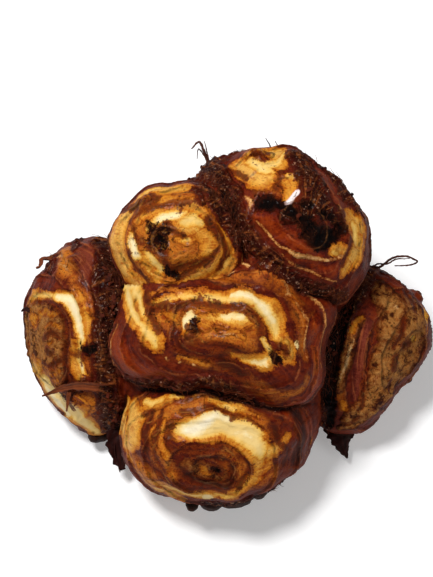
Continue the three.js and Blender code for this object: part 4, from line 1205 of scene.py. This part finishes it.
def flake_tree():
    """Torn scales of old leaf base, bent and tipped up at random."""
    tree = new_tree("husk_flakes", ["Density", "Length", "Thickness", "Tip", "Spread", "Seed", "Material"])
    given = add(tree, "NodeGroupInput")
    points, turned, length = scattered(tree, given, "husky", 0.35)
    blob = add(tree, "GeometryNodeMeshIcoSphere", {"Radius": 0.5, "Subdivisions": 2})[0]
    tip = add(tree, "FunctionNodeRandomValue", {2: 0.0, 3: given["Tip"], "Seed": 8}, data_type="FLOAT")[1]
    lift = add(tree, "FunctionNodeAxisAngleToRotation", {"Axis": (0, 1, 0), "Angle": tip})[0]
    tipped = add(tree, "FunctionNodeRotateRotation", {0: turned, 1: lift}, rotation_space="LOCAL")[0]
    width = add(tree, "ShaderNodeMath", {0: length, 1: 0.5}, operation="MULTIPLY")[0]
    size = add(tree, "ShaderNodeCombineXYZ", {0: length, 1: width, 2: given["Thickness"]})[0]
    laid = add(
        tree,
        "GeometryNodeInstanceOnPoints",
        {"Points": points, "Instance": blob, "Rotation": tipped, "Scale": size},
    )[0]
    laid = add(tree, "GeometryNodeRealizeInstances", {0: laid})[0]
    place = add(tree, "GeometryNodeInputPosition")[0]
    bend = add(tree, "ShaderNodeTexNoise", {"Vector": place, "Scale": 1 / (2.6 * MM), "Detail": 2.0})["Color"]
    bend = add(tree, "ShaderNodeVectorMath", {0: bend, 1: (-0.5, -0.5, -0.5)}, operation="ADD")[0]
    bend = add(tree, "ShaderNodeVectorMath", {0: bend, "Scale": 3.4 * MM}, operation="SCALE")[0]
    laid = add(tree, "GeometryNodeSetPosition", {"Geometry": laid, "Offset": bend})[0]
    laid = add(tree, "GeometryNodeSetShadeSmooth", {0: laid})[0]
    laid = add(tree, "GeometryNodeSetMaterial", {"Geometry": laid, "Material": given["Material"]})[0]
    add(tree, "NodeGroupOutput", {0: laid})
    return tree


def grit_tree():
    """Grains of soil caught between the fibres."""
    tree = new_tree("soil_grit", ["Density", "Length", "Spread", "Seed", "Material"])
    given = add(tree, "NodeGroupInput")
    points, turned, length = scattered(tree, given, "husky", 0.3)
    grain = add(tree, "GeometryNodeMeshIcoSphere", {"Radius": 0.5, "Subdivisions": 1})[0]
    squat = add(tree, "ShaderNodeVectorMath", {0: (1.0, 0.75, 0.6), "Scale": length}, operation="SCALE")[0]
    laid = add(
        tree,
        "GeometryNodeInstanceOnPoints",
        {"Points": points, "Instance": grain, "Rotation": turned, "Scale": squat},
    )[0]
    laid = add(tree, "GeometryNodeRealizeInstances", {0: laid})[0]
    laid = add(tree, "GeometryNodeSetMaterial", {"Geometry": laid, "Material": given["Material"]})[0]
    add(tree, "NodeGroupOutput", {0: laid})
    return tree


def grown_on(skin, name, tree, sizes):
    """Runs a tree on a copy of the skin, and keeps what it makes as a plain piece."""
    base = bpy.data.objects.new(name, skin.data.copy())
    bpy.context.scene.collection.objects.link(base)
    modifier = base.modifiers.new("grow", "NODES")
    modifier.node_group = tree
    for socket in tree.interface.items_tree:
        if socket.in_out == "INPUT" and socket.name in sizes:
            modifier[socket.identifier] = sizes[socket.name]
    piece = plain_copy(base, name)
    piece.data.materials.clear()
    piece.data.materials.append(sizes["Material"])
    return piece


# ---- Loose scraps and rootlets ----
def smooth_line(corners, count):
    """A smooth line through the corners, as evenly numbered points."""
    corners = np.array(corners, float)
    corners = np.vstack([2 * corners[0] - corners[1], corners, 2 * corners[-1] - corners[-2]])
    spans = len(corners) - 3
    t = np.linspace(0, spans, count)
    at = np.minimum(t.astype(int), spans - 1)
    t = (t - at)[:, None]
    p0, p1, p2, p3 = (corners[at + k] for k in range(4))
    return 0.5 * (
        2 * p1 + (p2 - p0) * t + (2 * p0 - 5 * p1 + 4 * p2 - p3) * t**2 + (3 * p1 - p0 - 3 * p2 + p3) * t**3
    )


def even(values, count):
    """The values spread along a line as the number of points given."""
    return np.interp(np.linspace(0, 1, count), np.linspace(0, 1, len(values)), values)


def scrap(line, widths, face, thick, curl, start, ragged=0.3, count=46):
    """Points and faces of a torn strip of old leaf base, ribbed along its length, in the crown frame."""
    across = 7 if count < 20 else 11
    middle = smooth_line(line, count)
    along = np.gradient(middle, axis=0)
    along /= np.linalg.norm(along, axis=1)[:, None]
    side = np.cross(unit(face), along)
    side /= np.linalg.norm(side, axis=1)[:, None]
    up = np.cross(along, side)
    width = even(widths, count)
    points, shade = [], []
    for layer in (1, -1):
        for i in range(count):
            tear = cloud(np.array([[i * 0.9, layer * 0.001, start * 3.1]]), 2.2, start)[0]
            for j in range(across):
                v = j / (across - 1) * 2 - 1
                reach = width[i] / 2 * (1 + ragged * (tear[0] if v > 0 else tear[1]) * abs(v))
                rib = 0.16 * math.sin(v * 11 + start) + 0.1 * math.sin(i * 0.7 + v * 5)
                thin = thick / 2 * (1 - 0.8 * abs(v) ** 3)
                sag = curl * v * v * width[i] / 2
                place = middle[i] + side[i] * v * reach + up[i] * (layer * thin + rib * thick + sag)
                points.append(place)
                shade.append(0.5 + 0.3 * math.sin(v * 9 + start * 2) + 0.25 * tear[2])
    faces = []
    for layer in range(2):
        base = layer * count * across
        for i in range(count - 1):
            for j in range(across - 1):
                a = base + i * across + j
                corner = (a, a + across, a + across + 1, a + 1)
                faces.append(corner if layer else corner[::-1])
    far = count * across
    rim = [i * across for i in range(count)] + [(count - 1) * across + j for j in range(1, across)]
    rim += [i * across + across - 1 for i in range(count - 2, -1, -1)] + list(range(across - 2, 0, -1))
    for a, b in zip(rim, rim[1:] + rim[:1]):
        faces.append((a, b, b + far, a + far))
    return np.array(points), faces, np.clip(shade, 0, 1)


def strand(line, radii, start, sides=7, wander=0.35):
    """Points and faces of a fibre or rootlet with closed ends, in the crown frame."""
    count = 8 * len(line)
    middle = smooth_line(line, count)
    middle = middle + wander * cloud(middle, 5.0, start) * even([0, 1, 1, 1], count)[:, None]
    along = np.gradient(middle, axis=0)
    along /= np.linalg.norm(along, axis=1)[:, None]
    side = np.cross(along, unit([0.3, 0.5, 0.8]))
    side /= np.linalg.norm(side, axis=1)[:, None]
    up = np.cross(along, side)
    radius = even(radii, count)
    points, faces = [], []
    for i in range(count):
        for j in range(sides):
            angle = 2 * math.pi * j / sides
            knob = 1 + 0.18 * math.sin(i * 1.9 + j * 2.3 + start)
            points.append(
                middle[i] + radius[i] * knob * (side[i] * math.cos(angle) + up[i] * math.sin(angle))
            )
    for i in range(count - 1):
        for j in range(sides):
            a, b = i * sides + j, i * sides + (j + 1) % sides
            faces.append((a, b, b + sides, a + sides))
    faces.append(tuple(range(sides))[::-1])
    faces.append(tuple((count - 1) * sides + j for j in range(sides)))
    shade = np.repeat(0.5 + 0.5 * cloud(middle, 6.0, start)[:, 0], sides)
    return np.array(points), faces, np.clip(shade, 0, 1)


def joined(name, parts, material):
    """One piece from several closed shapes in the crown frame."""
    points, faces, shades = [], [], []
    for part_points, part_faces, part_shade in parts:
        start = sum(len(p) for p in points)
        points.append(part_points)
        faces += [tuple(start + corner for corner in face) for face in part_faces]
        shades.append(part_shade)
    piece = mesh_object(name, to_row(np.vstack(points)), faces)
    edit = bmesh.new()
    edit.from_mesh(piece.data)
    bmesh.ops.recalc_face_normals(edit, faces=edit.faces)
    edit.to_mesh(piece.data)
    edit.free()
    piece.data.attributes.new("shade", "FLOAT", "POINT").data.foreach_set("value", np.concatenate(shades))
    piece.data.polygons.foreach_set("use_smooth", [True] * len(piece.data.polygons))
    piece.data.materials.append(material)
    return piece


def torn_flakes(line, count, size):
    """Small torn flakes that cling along a line, each bent and turned its own way."""
    middle = smooth_line(line, count)
    along = unit(middle[-1] - middle[0])
    parts = []
    for index, place in enumerate(middle):
        chance = cloud(np.array([[index * 3.7, 1.0, 2.0]]), 1.3, 50)[0]
        out = unit(np.array([0.6, 0.6, 0.5]) + 0.5 * chance)
        way = unit(np.cross(out, [0, 0, 1]) + 1.2 * chance)
        reach = size * (0.6 + 0.9 * abs(chance[2]))
        root = place - out * 1.6 + along * chance[0] * 2 + way * chance[1]
        path = [
            root,
            root + way * reach * 0.5 + out * 0.9,
            root + way * reach + out * (0.4 + 1.8 * abs(chance[1])),
        ]
        wide = 1.8 + 2.0 * abs(chance[0])
        parts.append(
            scrap(path, [wide, wide, wide * 0.9, wide * 0.5], out + 0.6 * chance, 1.1, 0.3, index, 0.8, 12)
        )
    return parts


def root_stubs(skin, material):
    """Stubs of cut roots round the foot of the clump: wrinkled, with a sunken, ringed cut end."""
    hull = BVHTree.FromPolygons(
        [v.co for v in skin.data.vertices], [tuple(p.vertices) for p in skin.data.polygons]
    )
    foot = Vector((FOOTPRINT.x + CROWN_OFFSET.x, FOOTPRINT.y + CROWN_OFFSET.y, FOOTPRINT.z))
    parts = []
    for index, (degrees, height, radius) in enumerate(STUBS):
        way = Vector((math.cos(math.radians(degrees)), math.sin(math.radians(degrees)), 0))
        start = foot + Vector((0, 0, height * MM))
        hit = hull.ray_cast(start + way * 0.2, -way)[0]
        if hit is None:
            continue
        at = to_crown([hit])[0]
        out = np.array(way) @ CROWN_TURN
        up = np.array((0, 0, 1)) @ CROWN_TURN
        side = np.cross(up, out)
        sides = 18
        rings = [(-5, 1.5), (-2, 1.34), (-0.6, 1.16), (0.6, 1.04), (1.6, 1.0), (STUB_LENGTH - 1.4, 0.84)]
        rings += [(STUB_LENGTH - 0.6, 0.64), (STUB_LENGTH - 0.1, 0.44), (STUB_LENGTH - 0.4, 0.28)]
        rings += [(STUB_LENGTH - 0.3, 0.1)]
        points, faces, shade = [], [], []
        for k, (along, wide) in enumerate(rings):
            for j in range(sides):
                angle = 2 * math.pi * j / sides
                knob = 1 + 0.12 * math.sin(2 * angle + index) + 0.08 * math.sin(5 * angle + 1.3 * k + index)
                ring = side * math.cos(angle) + up * math.sin(angle)
                points.append(at + out * along + ring * radius * wide * knob)
                shade.append(
                    (0.9 if index % 4 == 1 else 0.45) if k > 6 else 0.15 + 0.2 * math.sin(5 * angle) ** 2
                )
        for k in range(len(rings) - 1):
            for j in range(sides):
                a, b = k * sides + j, k * sides + (j + 1) % sides
                faces.append((a, b, b + sides, a + sides))
        faces.append(tuple(range(sides))[::-1])
        faces.append(tuple((len(rings) - 1) * sides + j for j in range(sides)))
        parts.append((np.array(points), faces, np.clip(shade, 0, 1)))
    return joined("root_stubs", parts, material)


# ---- The pieces ----
taro_skin = damp_taro_skin()
black_husk = dry_scrap("wet_black_leaf_base", "#080101", "#34100a", 2.2, 0.6, 0.12)
leaf_base = dry_scrap("dark_red_leaf_base", "#2c0703", "#8a4420", 4.0, 0.6, 0.14)
husk_flake = dry_scrap("damp_husk_flake", "#140403", "#5c2413", 1.2, 0.7, 0.1)
tan_fibre = dry_scrap("dry_leaf_fibre", "#140402", "#6e3014", 5.0, 0.6, 0.14)
old_rootlet = dry_scrap("dried_rootlet", "#160504", "#5c3022", 3.0, 0.6, 0.14)
# Soil grains, whose pale colour also stands for painted glints on the wet husk.
soil = dry_scrap("soil_grains_and_painted_glints", "#220b06", "#b98468", 1.0, 0.5, 0.14)
cut_root = dry_scrap("cut_root_stub", "#070201", "#3a1a0c", 1.6, 0.6, 0.12)

corm = grown_skin()
corm.name = "taro_corm"
corm.data.name = "taro_corm"
corm.data.materials.append(taro_skin)

fibres = grown_on(
    corm,
    "husk_fibres",
    fibre_tree(),
    {"Density": 2.4e5, "Length": 11 * MM, "Thickness": 0.13 * MM, "Lift": 2.4 * MM, "Spread": 0.9, "Seed": 4,
     "Material": tan_fibre},
)  # fmt: skip
flakes = grown_on(
    corm,
    "husk_flakes",
    flake_tree(),
    {"Density": 0.9e5, "Length": 4.6 * MM, "Thickness": 0.4 * MM, "Tip": 0.7, "Spread": 1.4, "Seed": 9,
     "Material": husk_flake},
)  # fmt: skip
grit = grown_on(
    corm,
    "soil_grit",
    grit_tree(),
    {"Density": 1.1e5, "Length": 1.1 * MM, "Spread": 3.0, "Seed": 12, "Material": soil},
)
stubs = root_stubs(corm, cut_root)

nubs = joined(
    "husk_nubs",
    [
        scrap(
            [(-88, 7, -6), (-91, 8.4, -5), (-94, 9.6, -4.6), (-96, 8.6, -4.6)],
            [3, 3, 2, 0.6],
            (0, 0.4, 1),
            0.9,
            0.4,
            21,
        ),
        scrap([(85, 14, -14), (88, 15, -12), (91.4, 16.6, -11)], [3.4, 3, 1], (0, 0.3, 1), 1.0, 0.4, 24),
        scrap([(89, -5, -16), (92, -5.4, -14), (95, -6.4, -13)], [3, 2.6, 0.8], (0, 0.3, 1), 1.0, 0.4, 27),
        strand([(22, 82, 10), (20.6, 85, 10.6), (18.4, 88.4, 11.4)], [0.4, 0.3, 0.15], 30),
        strand([(24, 81, 10), (24.4, 84.4, 10.6), (23, 87, 11.4)], [0.35, 0.25, 0.15], 33),
    ],
    black_husk,
)

loose = {
    "left_leaf_scale": joined(
        "leaf_scale",
        [
            scrap(
                [(-49, -24, 11), (-51, -25, 12), (-58, -25, 17), (-66, -24.5, 15), (-74, -26, 10),
                 (-80, -28.5, 6), (-85, -30.5, 4)],
                [4, 4.6, 4.8, 4.6, 3.2, 2, 0.7], (-0.3, -0.5, 0.8), 0.9, 0.5, 1,
            )
        ],
        leaf_base,
    ),
    "left_tatter": joined(
        "leaf_tatter",
        [
            scrap(
                [(-69, -23, 3), (-70, -25, 4), (-71.5, -28, 9), (-72.5, -33, 7.5), (-73.5, -37.5, 5)],
                [2, 2.6, 2.2, 1.6, 0.6], (-0.4, -0.6, 0.7), 0.8, 0.6, 4,
            ),
            scrap(
                [(-68, -24, 4), (-67, -28, 7), (-67.5, -32, 7.5), (-70, -35, 6.5)], [2.4, 2.6, 2, 0.6],
                (0.1, -0.5, 0.9), 0.7, 0.6, 5, 0.5, 18,
            ),
            strand(
                [(-70, -30, 8), (-66, -33, 8), (-62, -33.6, 7), (-63, -35.4, 6.6)], [0.7, 0.6, 0.5, 0.2], 6
            ),
        ],
        leaf_base,
    ),
    "left_curl": joined(
        "leaf_curl",
        [
            scrap(
                [(-76, 29, -7), (-78, 31, -6), (-83, 33, -5), (-86, 33, -5), (-87, 30, -4), (-89, 29, -4)],
                [3.4, 4, 3.6, 2.6, 1.6, 0.6], (0, 1, 0.3), 0.9, 0.5, 7,
            )
        ],
        leaf_base,
    ),
    "lower_left_husk": joined(
        "lower_left_strip",
        [
            scrap(
                [
                    (-38, -43, -4),
                    (-40, -44, -4),
                    (-49, -47, -3),
                    (-52, -52, -3),
                    (-50.5, -59, -4),
                    (-48, -66, -4),
                ],
                [7, 7.6, 8, 8.4, 8, 2.6], (0.1, -0.2, 1), 1.4, 0.35, 10, 0.5,
            ),
            strand([(-51, -50, -3), (-51.6, -58, -2.6), (-49.4, -67, -3.6)], [0.5, 0.4, 0.25], 3),
        ],
        black_husk,
    ),
    "lower_right_husk": joined(
        "lower_right_scrap",
        [
            scrap(
                [(52, -40, -14), (53, -42, -14), (54.5, -50, -11), (56, -56, -11), (58.5, -61.5, -12)],
                [17, 16, 12, 7, 0.8], (0, -0.3, 1), 1.3, -0.25, 13, 0.22,
            ),
            scrap(
                [(58, -38, -13), (60, -46, -11.5), (60.5, -52, -11)], [7, 5, 1], (0.2, -0.3, 1), 0.8, 0.3, 15,
            ),
        ],
        black_husk,
    ),
    "upper_right_husk": joined(
        "upper_right_scraps",
        [
            scrap(
                [(37, 64.6, 22), (41, 68, 25), (44.4, 69.2, 27), (48.4, 66.8, 28), (53, 61.4, 27),
                 (57, 56, 26), (61, 50.4, 25)],
                [2, 4, 5.6, 5.6, 4.6, 3.4, 1.4], (0.4, 0.5, 0.8), 2.6, 0.3, 18, 0.9,
            ),
            scrap(
                [
                    (40, 71.4, 21),
                    (43.4, 71.8, 22.5),
                    (47, 69.8, 23),
                    (51.6, 65, 23),
                    (56.4, 59.4, 22),
                    (60.6, 54, 21),
                ],
                [1.6, 3.8, 4.4, 4.4, 3.4, 1.4], (0.7, 0.7, 0.3), 2.2, 0.5, 19, 0.95,
            ),
            *torn_flakes(
                [(40, 71, 25), (44.4, 71, 27), (49, 68, 28), (54, 62.4, 27), (59, 55.4, 26), (63, 48, 24)],
                40,
                1.8,
            ),
        ],
        black_husk,
    ),
    "crown_rootlet": joined(
        "crown_rootlet_tuft",
        [
            strand(
                [(-5, 64, 3), (-7.5, 76, 3), (-9, 81, 4), (-12, 87.5, 5), (-15.5, 84, 6)],
                [0.8, 0.75, 0.7, 0.6, 0.3], 1,
            ),
            strand([(-4, 66, 3), (-7, 77, 4), (-8.4, 83, 4.6), (-9.6, 87.6, 5.4)], [0.5, 0.4, 0.35, 0.15], 6),
            strand(
                [(-6, 70, 4), (-8.6, 79, 4.8), (-12.4, 84, 5.6), (-13, 79.6, 6)], [0.5, 0.4, 0.3, 0.15], 11
            ),
        ],
        old_rootlet,
    ),
    "right_rootlet": joined(
        "right_rootlet_loop",
        [
            strand(
                [(66, 24, -6), (69, 29.5, -5), (73, 29.5, -4), (78.5, 33.5, -4), (84.5, 34.6, -5),
                 (91, 32.5, -6), (87, 30.4, -6), (80, 30.2, -5)],
                [0.6, 0.6, 0.6, 0.55, 0.5, 0.45, 0.4, 0.25], 2,
            ),
            strand(
                [(67, 25, -5), (71, 30.6, -4), (76, 31, -3), (81, 33.2, -4), (87, 33.4, -5)],
                [0.45, 0.4, 0.4, 0.35, 0.15], 8,
            ),
        ],
        old_rootlet,
    ),
}  # fmt: skip

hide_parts("corm")
for piece in (corm, stubs):
    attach(piece, "root")
for piece in (fibres, flakes, grit, nubs):
    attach(piece, "root")
for node, piece in loose.items():
    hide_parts(node)
    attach(piece, "root")

# ---- Camera, light and floor ----
CAMERA_AT = (-4.0, 19.4, 600.0)  # on the crown frame
camera_data = bpy.data.cameras.new("camera")
camera_data.lens = 80
camera = bpy.data.objects.new("camera", camera_data)
camera.matrix_world = Matrix.Translation(Vector(to_row(CAMERA_AT))) @ Matrix.Rotation(CROWN_TIP, 4, "X")
bpy.context.scene.collection.objects.link(camera)
bpy.context.scene.camera = camera

LAMPS = [  # name, place on the crown frame in millimetres, size in millimetres, watts
    ("key", (-320, 520, 760), 260, 9.3),
    ("fill", (560, -160, 620), 500, 1.3),
]
for name, at, size, power in LAMPS:
    lamp = bpy.data.lights.new(name, "AREA")
    lamp.shape = "DISK"
    lamp.size = size * MM
    lamp.energy = power
    lit = bpy.data.objects.new(name, lamp)
    stand = Vector(to_row(at))
    aim = (FOOTPRINT - stand).to_track_quat("-Z", "Y").to_matrix().to_4x4()
    lit.matrix_world = Matrix.Translation(stand) @ aim
    bpy.context.scene.collection.objects.link(lit)

world = bpy.data.worlds.new("plain_studio")
bpy.context.scene.world = world
world.use_nodes = True
tree = world.node_tree
tree.nodes.clear()
light = add(tree, "ShaderNodeBackground", {"Color": (1, 1, 1, 1), "Strength": 0.13})[0]
add(tree, "ShaderNodeOutputWorld", {"Surface": light})

floor = mesh_object(
    "floor", [(x, y, corm_low.z) for x, y in ((-3, -3), (3, -3), (3, 3), (-3, 3))], [(0, 1, 2, 3)]
)
paper = bpy.data.materials.new("white_paper_sweep")
paper.use_nodes = True
tree = paper.node_tree
tree.nodes.clear()
rays = add(tree, "ShaderNodeLightPath")
sheet = add(tree, "ShaderNodeBsdfDiffuse", {"Color": (0.86, 0.86, 0.86, 1)})[0]
seen = add(
    tree, "ShaderNodeMath", {0: rays["Is Camera Ray"], 1: rays["Is Glossy Ray"]}, operation="MAXIMUM"
)[0]
seen = add(tree, "ShaderNodeMath", {0: seen, 1: rays["Is Transmission Ray"]}, operation="MAXIMUM")[0]
glow = add(tree, "ShaderNodeMapRange", {"Value": seen, "To Max": 0.26})["Result"]
glow = add(tree, "ShaderNodeEmission", {"Color": (1, 1, 1, 1), "Strength": glow})[0]
both = add(tree, "ShaderNodeAddShader", {0: sheet, 1: glow})[0]
add(tree, "ShaderNodeOutputMaterial", {"Surface": both})
floor.data.materials.append(paper)

bpy.context.scene.view_settings.view_transform = "Standard"
